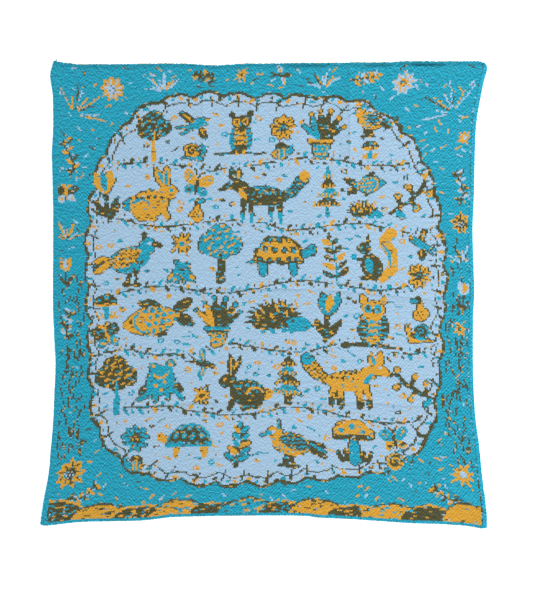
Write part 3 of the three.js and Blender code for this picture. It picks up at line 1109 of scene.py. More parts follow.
def draw_bits(chart):
    """Tiny flowers, leaves and dots in the gaps of the clearing, and dashes outside it."""
    field = clearing(chart.flat_x, chart.flat_y)
    inside = (INNER_BITS, field < 0.93, 2, (OCHRE, TEAL, OLIVE, TEAL, OCHRE))
    outside = (OUTER_BITS, field > 1.03, 1, (OCHRE, PALE, OLIVE, OCHRE, PALE))
    for count, zone, room, yarns in (inside, outside):
        for _ in range(count):
            j = chart.rng.integers(4, COURSES - 4)
            i = chart.rng.integers(4, WALES - 4)
            kind = chart.rng.integers(4)
            yarn = yarns[chart.rng.integers(5)]
            lean = chart.rng.uniform(-4, 4)
            if not zone[j, i] or chart.busy[j - room - 1:j + room + 2, i - room:i + room + 1].any():
                continue
            spot = Spot(chart, chart.flat_x[j, i], chart.flat_y[j, i], reach=24)
            if room == 1:
                mask = spot.taper((-1.5 - kind, -lean), (1.5 + kind, lean), 1.4)
            elif kind == 0:
                mask = spot.disc(0, 0, 6.5, 5.2) & ~spot.disc(0, 0, 2.6, 2)
            elif kind == 1:
                mask = spot.blade((-6, -lean), (6, lean), 3)
            elif kind == 2:
                mask = spot.taper((-6, -lean), (6, lean), 1.5)
            else:
                mask = spot.disc(0, 0, 2.6, 2)
            spot.fill(mask, yarn)


def draw_flecks(chart):
    """Short dashes of another yarn on the shapes, as in a scratchy drawing."""
    rough = chart.rng.random(chart.yarn.shape)
    for low, share, on, yarn in FLECKS:
        start = (rough > low) & (rough < low + share) & (chart.yarn == on)
        dash = start.copy()
        dash[:, 1:] |= start[:, :-1]
        chart.yarn[dash & (chart.yarn == on) & chart.busy] = yarn


def draw_strays(chart):
    """Single stitches of another yarn where colours meet, as such charts have."""
    yarn = chart.yarn
    meets = np.zeros(yarn.shape, bool)
    meets[:, 1:] |= yarn[:, 1:] != yarn[:, :-1]
    meets[1:, :] |= yarn[1:, :] != yarn[:-1, :]
    picked = meets & (chart.rng.random(yarn.shape) < STRAY_SHARE)
    other = chart.rng.choice([OCHRE, TEAL, OLIVE, PALE, OCHRE], size=yarn.shape)
    yarn[picked] = other[picked]


def draw_selvedges(chart):
    """Plain teal at the four edges, with the odd float beside the right one."""
    yarn = chart.yarn
    yarn[:, :3] = TEAL
    yarn[:, -3:] = TEAL
    yarn[:2] = TEAL
    yarn[-2:] = TEAL
    third = chart.rng.random(COURSES)
    yarn[third < 0.1, -3] = PALE
    yarn[third > 0.95, -3] = OLIVE
    yarn[4:40, -3][third[4:40] > 0.45] = OLIVE


def draw_chart():
    """The whole front of the cloth, a yarn number for each stitch."""
    chart = Chart()
    draw_edge(chart)
    draw_bands(chart)
    draw_vines(chart)
    for kind, x, y, size, turn, flip, *yarns in BORDER:
        draw_motif(chart, kind, x, y, size, turn, flip, yarns)
    draw_ground(chart)
    draw_bark(chart)
    draw_bits(chart)
    draw_flecks(chart)
    draw_strays(chart)
    draw_selvedges(chart)
    return chart.yarn


def pack_stitches(yarn):
    """A number for each cell of the cloth's mesh, holding the yarns of its two wales, each
    with the cell's two courses and the course below them, because a stitch reaches upwards."""
    below = np.vstack([yarn[:1], yarn])
    packed = np.zeros((COURSES // CELL, WALES // CELL))
    for column in range(CELL):
        for row in range(CELL + 1):
            layer = below[row:row + COURSES:CELL, column::CELL]
            place = column * (CELL + 1) + row
            packed += layer[:COURSES // CELL] * float(YARN_COUNT ** place)
    return packed


def one_yarn(yarn):
    """The number of a cell knitted in one yarn all over."""
    return float(yarn * (YARN_COUNT ** (CELL * (CELL + 1)) - 1) // (YARN_COUNT - 1))


def back_yarns():
    """The back of the cloth: the four yarns in turn, as the floats of such a double knit lie."""
    course, wale = np.mgrid[0:COURSES, 0:WALES]
    return (course + 2 * (wale % 2)) % YARN_COUNT


def flat_plate():
    """The cloth laid out as a true rectangle in millimetres, a face for each cell, its rim rounded."""
    bm = bmesh.new()
    bmesh.ops.create_grid(bm, x_segments=WALES // CELL, y_segments=COURSES // CELL, size=0.5)
    bmesh.ops.scale(bm, vec=(WIDTH, LENGTH, 1), verts=bm.verts[:])
    lifted = bmesh.ops.extrude_face_region(bm, geom=bm.faces[:], use_keep_orig=True)
    upper = [item for item in lifted["geom"] if isinstance(item, bmesh.types.BMVert)]
    bmesh.ops.translate(bm, vec=(0, 0, THICKNESS), verts=upper)
    bmesh.ops.recalc_face_normals(bm, faces=bm.faces[:])
    rim = [edge for edge in bm.edges if edge.calc_face_angle(0) > 1]
    bmesh.ops.bevel(
        bm, geom=rim, offset=EDGE_ROUND, offset_type="OFFSET", segments=2, profile=0.5,
        affect="EDGES", material=-1, clamp_overlap=True,
    )
    mesh = bpy.data.meshes.new("blanket_cloth")
    bm.to_mesh(mesh)
    bm.free()
    return mesh


def read_values(items, name, width, kind=float):
    """One property of every item of a mesh, as rows of an array."""
    values = np.zeros(len(items) * width, kind)
    items.foreach_get(name, values)
    return values.reshape(-1, width) if width > 1 else values


def chart_on_mesh(mesh, front, back):
    """Gives the flat mesh its stitch coordinates, in stitches, and the yarns of each cell."""
    centre = read_values(mesh.polygons, "center", 3)
    normal = read_values(mesh.polygons, "normal", 3)
    corner = read_values(mesh.loops, "vertex_index", 1, int)
    per_face = read_values(mesh.polygons, "loop_total", 1, int)
    points = read_values(mesh.vertices, "co", 3)
    is_front = (normal[:, 2] > 0.9) & (centre[:, 2] > THICKNESS * 0.9)
    is_back = (normal[:, 2] < -0.9) & (centre[:, 2] < THICKNESS * 0.1)

    column = ((centre[:, 0] / WIDTH + 0.5) * WALES / CELL).astype(int)
    row = ((centre[:, 1] / LENGTH + 0.5) * COURSES / CELL).astype(int)
    yarns = np.full(len(centre), one_yarn(TEAL))
    yarns[is_front] = pack_stitches(front)[row[is_front], column[is_front]]
    yarns[is_back] = pack_stitches(back)[row[is_back], WALES // CELL - 1 - column[is_back]]
    layer = mesh.attributes.new("yarns", "FLOAT", "FACE")
    layer.data.foreach_set("value", yarns.astype(np.float32))

    place = points[corner]
    down = THICKNESS - place[:, 2]
    rim = np.repeat(~(is_front | is_back), per_face)
    out_x = np.where(rim, np.sign(np.repeat(normal[:, 0].round(1), per_face)) * down, 0)
    out_y = np.where(rim, np.sign(np.repeat(normal[:, 1].round(1), per_face)) * down, 0)
    across = ((place[:, 0] + out_x) / WIDTH + 0.5) * WALES
    along = ((place[:, 1] + out_y) / LENGTH + 0.5) * COURSES
    across = np.where(np.repeat(is_back, per_face), WALES - across, across)
    stitches = mesh.uv_layers.new(name="stitches")
    stitches.data.foreach_set("uv", np.stack([across, along], axis=1).astype(np.float32).ravel())


def lay_out(mesh):
    """Takes the flat mesh to its place on the floor, with the cloth's outline and creases."""
    points = read_values(mesh.vertices, "co", 3)
    level = points[:, 2]
    places = place_in_frame(points[:, 0] / WIDTH + 0.5, points[:, 1] / LENGTH + 0.5, level)
    uneven = unevenness(places[:, 0] / MM, places[:, 1] / MM)
    places[:, 2] += smooth_step(level / THICKNESS) * uneven * MM
    mesh.vertices.foreach_set("co", places.astype(np.float32).ravel())
    mesh.update()


def unevenness(x, y):
    """Slight unevenness of the upper face, in millimetres, from waves that run several ways."""
    rng = np.random.default_rng(5)
    height = np.zeros(x.shape)
    for wave in UNEVEN_WAVES:
        for _ in range(WAVES_EACH):
            turn = rng.uniform(0, math.pi)
            phase = rng.uniform(0, 2 * math.pi)
            run = x * math.cos(turn) + y * math.sin(turn)
            height += wave * UNEVEN_SHARE * np.sin(2 * math.pi * run / wave + phase)
    return height


def edge_place_in_frame(side, share, out, level=THICKNESS / 2):
    """A place by the cloth's edge: x to the right along it, y outwards and z up, with the
    distance outwards and the level above the underside in millimetres."""
    step = 0.002
    shares = np.array([share - step, share + step])
    ends = {
        "top": (shares, np.ones(2)),
        "bottom": (shares[::-1], np.zeros(2)),
        "left": (np.zeros(2), shares),
        "right": (np.ones(2), shares[::-1]),
    }
    before, after = place_in_frame(*ends[side], level)
    along = Vector((after - before)[:2]).to_3d().normalized()
    outwards = Vector((-along.y, along.x, 0))
    origin = Vector((before + after) / 2) + outwards * out * MM
    matrix = Matrix.Identity(4)
    for i, axis in enumerate((along, outwards, Vector((0, 0, 1)), origin)):
        matrix.col[i] = (*axis, 1 if i == 3 else 0)
    return matrix


def make_strand(name):
    """A short stretch of yarn on a round arc with its back at +y, in millimetres, as its row
    in STRANDS says. Its map runs along the yarn and round it."""
    bend, turn_deg, thickness, steps = STRANDS[name]
    radius = bpy.context.scene.blanket_edges.yarn_radius / MM * thickness
    half = math.radians(turn_deg) / 2
    upright = Matrix.Rotation(math.pi / 2, 3, "X")
    to_start = Matrix.Rotation(math.pi / 2 - half, 3, "Z")
    bm = bmesh.new()
    ring = bmesh.ops.create_circle(bm, cap_ends=True, radius=radius, segments=STRAND_SIDES)["verts"]
    bmesh.ops.rotate(bm, cent=(0, 0, 0), matrix=upright, verts=ring)
    bmesh.ops.translate(bm, vec=(bend, 0, 0), verts=ring)
    bmesh.ops.rotate(bm, cent=(0, 0, 0), matrix=to_start, verts=ring)
    bmesh.ops.spin(
        bm, geom=bm.verts[:] + bm.edges[:] + bm.faces[:], cent=(0, 0, 0), axis=(0, 0, 1),
        angle=2 * half, steps=steps, use_merge=False, use_duplicate=False,
    )
    bmesh.ops.recalc_face_normals(bm, faces=bm.faces[:])
    layer = bm.loops.layers.uv.new("strand")
    for face in bm.faces:
        middle = face.calc_center_median()
        first = math.atan2(middle.z, math.hypot(middle.x, middle.y) - bend)
        for loop in face.loops:
            point = loop.vert.co
            around = math.atan2(point.z, math.hypot(point.x, point.y) - bend)
            around += 2 * math.pi * round((first - around) / (2 * math.pi))
            loop[layer].uv = (math.atan2(point.y, point.x) * bend, around / (2 * math.pi))
    bmesh.ops.translate(bm, vec=(0, -bend, 0), verts=bm.verts[:])
    mesh = bpy.data.meshes.new(name)
    bm.to_mesh(mesh)
    bm.free()
    return mesh


def add_strand(bm, strand, place, turn_deg, yarn):
    """Adds a copy of a strand at a place, turned in the cloth's plane, in one yarn."""
    first_vert = len(bm.verts)
    first_face = len(bm.faces)
    bm.from_mesh(strand)
    bm.verts.ensure_lookup_table()
    bm.faces.ensure_lookup_table()
    matrix = place @ Matrix.Rotation(math.radians(turn_deg), 4, "Z") @ Matrix.Scale(MM, 4)
    bmesh.ops.transform(bm, matrix=matrix, verts=bm.verts[first_vert:])
    layer = bm.faces.layers.float["yarns"]
    for face in bm.faces[first_face:]:
        face[layer] = one_yarn(yarn)
        face.smooth = True


def new_strand_mesh():
    """An empty bmesh with the map and the yarn numbers that strands have."""
    bm = bmesh.new()
    bm.loops.layers.uv.new("strand")
    bm.faces.layers.float.new("yarns")
    return bm


def finish_piece(name, mesh, material):
    """Puts a finished mesh into the scene as a piece that moves with the cloth."""
    mesh.materials.clear()
    mesh.materials.append(material)
    piece = bpy.data.objects.new(name, mesh)
    bpy.context.scene.collection.objects.link(piece)
    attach(piece, BODY)
    return piece


def piece_from_bmesh(name, bm, material):
    """A finished piece from a bmesh, which is freed."""
    mesh = bpy.data.meshes.new(name)
    bm.to_mesh(mesh)
    bm.free()
    return finish_piece(name, mesh, material)


class Wires:
    """Adds nodes to a node tree and links them up. A source is a node's output or a value."""

    def __init__(self, tree):
        self.tree = tree
        self.column = 0

    def add(self, kind, **settings):
        """A new node with its settings, to the right of the one before it."""
        node = self.tree.nodes.new(kind)
        self.column += 1
        node.location = (180 * self.column, 0)
        for name, value in settings.items():
            setattr(node, name, value)
        return node

    def join(self, source, socket):
        """Links a node's output to a socket, or sets the socket to a value."""
        if hasattr(source, "is_output"):
            self.tree.links.new(source, socket)
        else:
            socket.default_value = source

    def feed(self, node, *sources):
        """Joins sources to a node's inputs in their order."""
        for source, socket in zip(sources, node.inputs):
            self.join(source, socket)
        return node.outputs

    def group(self, tree, sources):
        """Places a node group, with a source for each input by its label."""
        node = self.add("ShaderNodeGroup", node_tree=tree)
        for label, source in sources.items():
            self.join(source, node.inputs[label])
        return node.outputs

    def math(self, operation, *sources, clamp=False):
        """What a Math node makes of its sources."""
        return self.feed(self.add("ShaderNodeMath", operation=operation, use_clamp=clamp), *sources)[0]

    def plus(self, first, second):
        """The sum of two sources."""
        return self.math("ADD", first, second)

    def minus(self, first, second, clamp=False):
        """The first source less the second."""
        return self.math("SUBTRACT", first, second, clamp=clamp)

    def times(self, first, second):
        """One source times another."""
        return self.math("MULTIPLY", first, second)

    def times_plus(self, first, second, third, clamp=False):
        """The first source times the second, plus the third."""
        return self.math("MULTIPLY_ADD", first, second, third, clamp=clamp)

    def remainder(self, value, whole):
        """What is left of a value after whole parts of it are taken away."""
        return self.math("FLOORED_MODULO", value, whole)

    def vector(self, x, y, z=0.0):
        """A vector from its three parts."""
        return self.feed(self.add("ShaderNodeCombineXYZ"), x, y, z)[0]

    def split(self, vector):
        """The three parts of a vector."""
        return self.feed(self.add("ShaderNodeSeparateXYZ"), vector)

    def vector_math(self, operation, first, second):
        """The outputs of a Vector Math node."""
        return self.feed(self.add("ShaderNodeVectorMath", operation=operation), first, second)

    def ramp(self, value, start, end, first=0.0, last=1.0):
        """Runs smoothly from first to last while a value runs from start to end."""
        node = self.add("ShaderNodeMapRange", interpolation_type="SMOOTHSTEP")
        return self.feed(node, value, start, end, first, last)[0]

    def mix(self, share, first, second):
        """A colour that is a share of the way from the first to the second."""
        node = self.add("ShaderNodeMix", data_type="RGBA")
        colours = [socket for socket in node.inputs if socket.type == "RGBA"]
        self.join(share, node.inputs["Factor"])
        self.join(first, colours[0])
        self.join(second, colours[1])
        return [socket for socket in node.outputs if socket.type == "RGBA"][0]

    def chance(self, x, y):
        """A random value from 0 to 1 for each pair of whole numbers."""
        node = self.add("ShaderNodeTexWhiteNoise", noise_dimensions="2D")
        self.join(self.vector(x, y), node.inputs["Vector"])
        return node.outputs["Value"]

    def wave(self, turns):
        """From -1 to 1 and back in each turn."""
        return self.math("SINE", self.times(turns, 2 * math.pi))

    def hump(self, share, power):
        """Rises from 0 at both ends of a share to 1 in its middle, steeper for a low power."""
        bow = self.times(share, self.minus(1.0, share))
        return self.times(self.math("POWER", bow, power), 4 ** power)

    def noise(self, vector, scale, detail=2.0):
        """Smooth random values around 0.5."""
        node = self.add("ShaderNodeTexNoise", noise_dimensions="3D")
        self.join(vector, node.inputs["Vector"])
        node.inputs["Scale"].default_value = scale
        node.inputs["Detail"].default_value = detail
        return node.outputs["Fac"]


def new_group(name, inputs, outputs):
    """A shader node group with named sockets: rows of name, kind and value for the inputs."""
    group = bpy.data.node_groups.new(name, "ShaderNodeTree")
    for label, kind, value in inputs:
        socket = group.interface.new_socket(name=label, in_out="INPUT", socket_type="NodeSocket" + kind)
        if value is not None:
            socket.default_value = value
    for label, kind in outputs:
        group.interface.new_socket(name=label, in_out="OUTPUT", socket_type="NodeSocket" + kind)
    wires = Wires(group)
    enter = wires.add("NodeGroupInput")
    leave = wires.add("NodeGroupOutput")
    return group, wires, enter.outputs, leave.inputs


def stitch_group():
    """Knit stitches from a map in stitches and a cell's packed yarns."""
    name = "Knit stitches"
    if name in bpy.data.node_groups:
        return bpy.data.node_groups[name]
    inputs = (("Stitches", "Vector", None), ("Packed Yarns", "Float", 0.0), ("Slant", "Float", 0.9))
    outputs = (("Yarn", "Float"), ("Backing", "Float"), ("Height", "Float"), ("Tone", "Float"))
    group, wires, enter, leave = new_group(name, inputs, outputs)
    across, along, _ = wires.split(enter["Stitches"])

    # A stitch is a V: its legs rise from the middle of the wale to both sides
    wale = wires.math("FLOOR", across)
    side = wires.math("ABSOLUTE", wires.times_plus(wires.math("FRACT", across), 2.0, -1.0))
    level = wires.minus(along, wires.times(side, enter["Slant"]))
    course = wires.math("FLOOR", level)
    up = wires.math("FRACT", level)

    # The stitch's place among the cell's six, and its yarn
    column = wires.remainder(wale, CELL)
    cell_start = wires.times(wires.math("FLOOR", wires.math("DIVIDE", along, CELL)), CELL)
    row = wires.plus(wires.minus(course, cell_start), 1.0)
    row = wires.math("MINIMUM", wires.math("MAXIMUM", row, 0.0), CELL)
    digit = wires.times_plus(column, CELL + 1, row)
    shifted = wires.math("DIVIDE", enter["Packed Yarns"], wires.math("POWER", YARN_COUNT, digit))
    shifted = wires.math("FLOOR", wires.plus(shifted, KEEPS_WHOLE))
    wires.join(wires.remainder(shifted, YARN_COUNT), leave["Yarn"])

    # The yarn of the other face that lies behind the stitch
    behind = wires.times_plus(wires.remainder(wale, 2.0), 2.0, course)
    wires.join(wires.remainder(behind, YARN_COUNT), leave["Backing"])

    # Round legs with a groove up the middle of the V and one between the wales
    leg = wires.times(wires.hump(up, 0.5), wires.hump(side, 0.4))
    ply = wires.wave(wires.plus(wires.times(side, 2.5), wires.times(up, 1.4)))
    fuzz = wires.noise(enter["Stitches"], 3.2, 3.0)
    height = wires.times_plus(wires.times(ply, leg), PLY_HEIGHT, leg)
    height = wires.times_plus(fuzz, FUZZ_HEIGHT, height)
    wires.join(wires.minus(height, FUZZ_MIDDLE), leave["Height"])

    # Each stitch a little lighter or darker than the next, and fine slanting lines of painted light
    # and shade for the lit and shaded legs of the V's, leaning one way at the left and the other way at the
    # right
    single = wires.minus(wires.chance(wale, course), wires.chance(wale, wires.minus(course, 1.0)))
    half = wires.math("DIVIDE", across, 2.0)
    third = wires.math("DIVIDE", wires.plus(course, 0.25), 3.0)
    rising = wires.wave(wires.minus(half, third))
    falling = wires.times(wires.wave(wires.plus(half, third)), 0.8)
    lean = wires.times_plus(wires.noise(enter["Stitches"], 0.035, 1.0), 3.0, -1.6)
    lean = wires.times_plus(along, -1.2 / COURSES, lean)
    lean = wires.times_plus(across, 2.0 / WALES, lean, clamp=True)
    leg_shade = wires.times_plus(wires.minus(rising, falling), lean, falling)
    streak = wires.noise(wires.vector(wires.times(across, 0.02), wires.times(along, 0.6)), 1.0)
    tone = wires.times_plus(leg_shade, LEG_SHADE_TONE, 1.0)
    tone = wires.times_plus(single, SINGLE_TONE, tone)
    tone = wires.times_plus(streak, STREAK_TONE, tone)
    wires.join(wires.minus(tone, STREAK_TONE / 2), leave["Tone"])
    return group


def yarn_group():
    """The colour of a yarn by its number."""
    name = "Yarn colour"
    if name in bpy.data.node_groups:
        return bpy.data.node_groups[name]
    colours = bpy.context.scene.blanket_yarns
    inputs = [("Yarn", "Float", 0.0)]
    for label in YARN_NAMES:
        inputs.append((label, "Color", (*getattr(colours, label.lower()), 1)))
    group, wires, enter, leave = new_group(name, inputs, (("Colour", "Color"),))
    colour = enter[YARN_NAMES[PALE]]
    for yarn in (TEAL, OCHRE, OLIVE):
        is_yarn = wires.math("GREATER_THAN", enter["Yarn"], yarn - 0.5)
        colour = wires.mix(is_yarn, colour, enter[YARN_NAMES[yarn]])
    wires.join(colour, leave["Colour"])
    return group


def shade_group():
    """A yarn's colour with painted shade in the hollows, where its height is low, and lighter or darker by a
    tone.
    """
    name = "Yarn shade"
    if name in bpy.data.node_groups:
        return bpy.data.node_groups[name]
    inputs = (
        ("Colour", "Color", None), ("Height", "Float", 1.0),
        ("Tone", "Float", 1.0), ("Depth", "Float", 0.45),
    )
    group, wires, enter, leave = new_group(name, inputs, (("Colour", "Color"),))
    hollow = wires.minus(1.0, enter["Depth"])
    lit = wires.times_plus(wires.math("MINIMUM", enter["Height"], 1.0), enter["Depth"], hollow)
    scale = wires.add("ShaderNodeVectorMath", operation="SCALE")
    wires.join(enter["Colour"], scale.inputs[0])
    wires.join(wires.times(lit, enter["Tone"]), scale.inputs["Scale"])
    wires.join(scale.outputs[0], leave["Colour"])
    return group


def shade_line_group():
    """A fine line of painted shade along a bowed crease, dying away at both ends, with a painted highlight as
    a rim above it.
    """
    name = "Crease line"
    if name in bpy.data.node_groups:
        return bpy.data.node_groups[name]
    inputs = (
        ("Place", "Vector", None), ("Start", "Vector", None), ("Run", "Vector", None),
        ("Length", "Float", 1.0), ("Bow", "Float", 0.0), ("Half Width", "Float", 0.002),
    )
    group, wires, enter, leave = new_group(name, inputs, (("Dark", "Float"), ("Light", "Float")))
    away = wires.vector_math("SUBTRACT", enter["Place"], enter["Start"])[0]
    ahead = wires.vector_math("DOT_PRODUCT", away, enter["Run"])["Value"]
    along = wires.math("DIVIDE", ahead, enter["Length"])
    back = wires.minus(1.0, along)
    sideways = wires.split(wires.vector_math("CROSS_PRODUCT", enter["Run"], away)[0])[2]
    bowed = wires.times(wires.times(along, back), wires.times(enter["Bow"], 4.0))
    aside = wires.math("DIVIDE", wires.minus(sideways, bowed), enter["Half Width"])
    fade = wires.ramp(wires.math("MINIMUM", along, back), 0.0, CREASE_FADE)
    for label, shift in (("Dark", 0.0), ("Light", -2.0)):
        off = wires.plus(aside, shift)
        bell = wires.math("POWER", math.e, wires.times(wires.times(off, off), -1.0))
        wires.join(wires.times(bell, fade), leave[label])
    return group


def new_material(name):
    """A material with a Principled shader set for matte cotton, and the wires to add to it."""
    material = bpy.data.materials.new(name)
    material.use_nodes = True
    wires = Wires(material.node_tree)
    shader = material.node_tree.nodes["Principled BSDF"]
    settings = bpy.context.scene.blanket_yarns
    shader.inputs["Roughness"].default_value = settings.roughness
    shader.inputs["Sheen Weight"].default_value = settings.sheen
    shader.inputs["Sheen Roughness"].default_value = 0.5
    shader.inputs["Specular IOR Level"].default_value = 0.12
    return material, wires, shader


def dress(wires, shader, colour, height, relief):
    """Gives a shader its colour, and its relief in metres from a height of 0 to 1."""
    bump = wires.add("ShaderNodeBump")
    bump.inputs["Strength"].default_value = 0.7
    bump.inputs["Distance"].default_value = relief
    wires.join(height, bump.inputs["Height"])
    wires.join(colour, shader.inputs["Base Color"])
    wires.join(bump.outputs["Normal"], shader.inputs["Normal"])


def edge_shade_and_light(wires, place, tone):
    """The stitches' tone with the darker and lighter rows near the cloth's edges: painted shade where the top
    edge rolls away and in the groove by the right selvedge, painted light on that selvedge, and a lighter
    first course at the bottom.
    """
    across, along, _ = wires.split(place)
    counted = {"across": across, "along": along}
    for way, start, end, change in EDGE_SHADE_AND_LIGHT:
        tone = wires.times(tone, wires.ramp(counted[way], start, end, 1, 1 + change))
    return tone


def painted_crease_shade(wires, tone):
    """The stitches' tone with the fine lines of painted shade and highlight along the creases, and the
    painted shadows of the pinches.
    """
    spot = wires.add("ShaderNodeTexCoord").outputs["Object"]
    lines = []
    for start, end, bow, rise, _ in CREASES:
        lines.append((start, end, bow, CREASE_SHADE_HALF_WIDTH, rise * CREASE_SHADE_PER_MM, CREASE_HIGHLIGHT_SHARE))
    # The pinches' painted shadows, with no highlight
    for start, end, half_width, dark in PINCH_SHADOWS:
        lines.append((start, end, 0, half_width, dark, 0))
    for start, end, bow, half_width, dark, rim in lines:
        run = Vector((end[0] - start[0], end[1] - start[1], 0))
        line = wires.group(shade_line_group(), {
            "Place": spot,
            "Start": ((start[0] - MIDDLE_X) * MM, (start[1] - MIDDLE_Y) * MM, 0),
            "Run": run.normalized(),
            "Length": run.length * MM,
            "Bow": bow * MM,
            "Half Width": half_width * MM,
        })
        # Painted shade along the line, and a painted highlight on the rim above it
        darker = wires.times(line["Dark"], -dark)
        change = wires.times_plus(line["Light"], dark * rim, darker)
        tone = wires.times_plus(change, tone, tone)
    return tone


def knit_material():
    """Knitted cotton: V stitches in four yarns, from the cloth's own map and attribute."""
    name = "knitted cotton"
    if name in bpy.data.materials:
        return bpy.data.materials[name]
    material, wires, shader = new_material(name)
    place = wires.add("ShaderNodeUVMap", uv_map="stitches").outputs["UV"]
    packed = wires.add("ShaderNodeAttribute", attribute_name="yarns").outputs["Fac"]
    stitches = wires.group(stitch_group(), {"Stitches": place, "Packed Yarns": packed})
    height = stitches["Height"]

    # The other face's yarn shows a little in the gaps between the stitches
    face = wires.group(yarn_group(), {"Yarn": stitches["Yarn"]})["Colour"]
    backing = wires.group(yarn_group(), {"Yarn": stitches["Backing"]})["Colour"]
    gap = wires.minus(1.0, wires.times(height, 1.6), clamp=True)
    both = wires.mix(wires.times(gap, 0.6), face, backing)

    steady = 0.0
    for yarn, share in STEADY_YARNS:
        is_yarn = wires.math("COMPARE", stitches["Yarn"], yarn, 0.5)
        steady = wires.times_plus(is_yarn, share, steady)
    tone = wires.times_plus(steady, wires.minus(1.0, stitches["Tone"]), stitches["Tone"])
    # Painted shade and light of the cloth's edges, creases and pinches go into the tone
    tone = painted_crease_shade(wires, edge_shade_and_light(wires, place, tone))
    # Painted shade in the hollows between the stitches and up the middle of each V
    colour = wires.group(shade_group(), {"Colour": both, "Height": height, "Tone": tone})["Colour"]
    dress(wires, shader, colour, height, bpy.context.scene.blanket_yarns.relief)
    return material


def strand_material():
    """Single strands of the same yarns at the cloth's edges, with their twist."""
    name = "plied yarn"
    if name in bpy.data.materials:
        return bpy.data.materials[name]
    material, wires, shader = new_material(name)
    along, around, _ = wires.split(wires.add("ShaderNodeUVMap", uv_map="strand").outputs["UV"])
    packed = wires.add("ShaderNodeAttribute", attribute_name="yarns").outputs["Fac"]
    turns = wires.plus(wires.times(along, TWISTS_PER_MM), wires.times(around, 2.0))
    ply = wires.math("ABSOLUTE", wires.math("SINE", wires.times(turns, math.pi)))
    fuzz = wires.noise(wires.add("ShaderNodeTexCoord").outputs["Object"], 900.0, 3.0)
    height = wires.plus(wires.times(ply, 0.6), wires.times(fuzz, 0.5))
    yarn = wires.group(yarn_group(), {"Yarn": wires.remainder(packed, YARN_COUNT)})["Colour"]
    tone = wires.times_plus(fuzz, 0.5, 1.08)
    # Painted shade in the grooves between the plies
    colour = wires.group(shade_group(), {"Colour": yarn, "Height": height, "Tone": tone})["Colour"]
    dress(wires, shader, colour, height, STRAND_RELIEF)
    return material


def colour_property(name, description, default):
    """A colour that the user can change."""
    return FloatVectorProperty(
        name=name, description=description, subtype="COLOR", size=3, min=0, max=1, default=default,
    )


def share_property(name, description, default):
    """A share from 0 to 1 that the user can change."""
    return FloatProperty(
        name=name, description=description, subtype="FACTOR", min=0, max=1, default=default,
    )


class BlanketYarns(bpy.types.PropertyGroup):
    """Colours and surface of the four cotton yarns."""

    pale: colour_property("Pale blue", "Yarn of the clearing", (0.405, 0.61, 0.815))
    teal: colour_property("Teal", "Yarn of the ground and the edges", (0.004, 0.37, 0.535))
    ochre: colour_property("Ochre", "Yellow yarn", (0.755, 0.382, 0.026))
    olive: colour_property("Dark olive", "Dark yarn of the outlines", (0.073, 0.07, 0.022))
    roughness: share_property("Roughness", "Roughness of the cotton", 0.9)
    sheen: share_property("Sheen", "Soft light on the fibres", 0.05)
    relief: FloatProperty(
        name="Stitch relief", description="Height of a stitch above its grooves", unit="LENGTH",
        min=0, max=0.004, default=0.001, precision=4,
    )


class BlanketEdges(bpy.types.PropertyGroup):
    """Sizes of the loops and chains at the cloth's edges."""

    yarn_radius: FloatProperty(
        name="Yarn radius", description="Half the thickness of an edge strand", unit="LENGTH",
        min=0.0004, max=0.002, default=0.0011, precision=4,
    )
    cast_on_loops: IntProperty(
        name="Cast-on loops", description="Loops along the top edge", min=20, max=200, default=132,
    )
    chain_links: IntProperty(
        name="Chain links", description="Links of the bound-off edge", min=20, max=240, default=148,
    )
    selvedge_loops: IntProperty(
        name="Selvedge loops", description="Edge loops along each side", min=20, max=240, default=192,
    )


class BlanketStage(bpy.types.PropertyGroup):
    """Camera, light and floor of the studio view."""

    lens: FloatProperty(
        name="Lens", description="Focal length of the camera in millimetres", min=20, max=200, default=70,
    )
    view_height: FloatProperty(
        name="View height", description="Length of floor that the picture's height takes in", unit="LENGTH",
        min=0.2, max=5, default=1.19,
    )
    aim: FloatVectorProperty(
        name="Aim", description="Point of the floor under the camera", subtype="TRANSLATION", size=2,
        default=(0.0052, -0.0145), precision=4,
    )
    sky: FloatProperty(
        name="Even light", description="Strength of the light from all round", min=0, max=5, default=0.8,
    )
    lamp: FloatProperty(
        name="Lamp", description="Power of the soft lamp at the upper right, in watts",
        min=0, max=500, default=66,
    )
    floor_colour: colour_property("Floor", "Colour of the floor", (0.92, 0.92, 0.92))
    floor_glow: FloatProperty(
        name="Floor glow", description="Light that comes through the white floor", min=0, max=2, default=0.45,
    )


class BLANKET_OT_cast_on(bpy.types.Operator):
    """Make the cast-on loops along the top edge"""

    bl_idname = "blanket.cast_on"
    bl_label = "Cast-on loops"
    bl_options = {"REGISTER", "UNDO"}

    def execute(self, context):
        count = context.scene.blanket_edges.cast_on_loops
        rng = np.random.default_rng(21)
        loop = make_strand("cast_on_loop")
        fleck = make_strand("cast_on_fleck")
        bm = new_strand_mesh()
        for i in range(count):
            share = (i + 0.5) / count
            place = edge_place_in_frame("top", share, 0.5 + rng.uniform(-0.3, 0.3))
            add_strand(bm, loop, place, rng.uniform(-14, 14), TEAL)
            if rng.random() < LOOPS_WITH_FLECK and share < FLECKED_TOP:
                place = edge_place_in_frame("top", share + 0.5 / count, 1.3, 1.2)
                lean = rng.uniform(-20, 20)
                yarn = OCHRE if rng.random() < OCHRE_FLECKS else OLIVE
                add_strand(bm, fleck, place, lean, yarn)
        piece_from_bmesh("cast_on_edge", bm, strand_material())
        return {"FINISHED"}


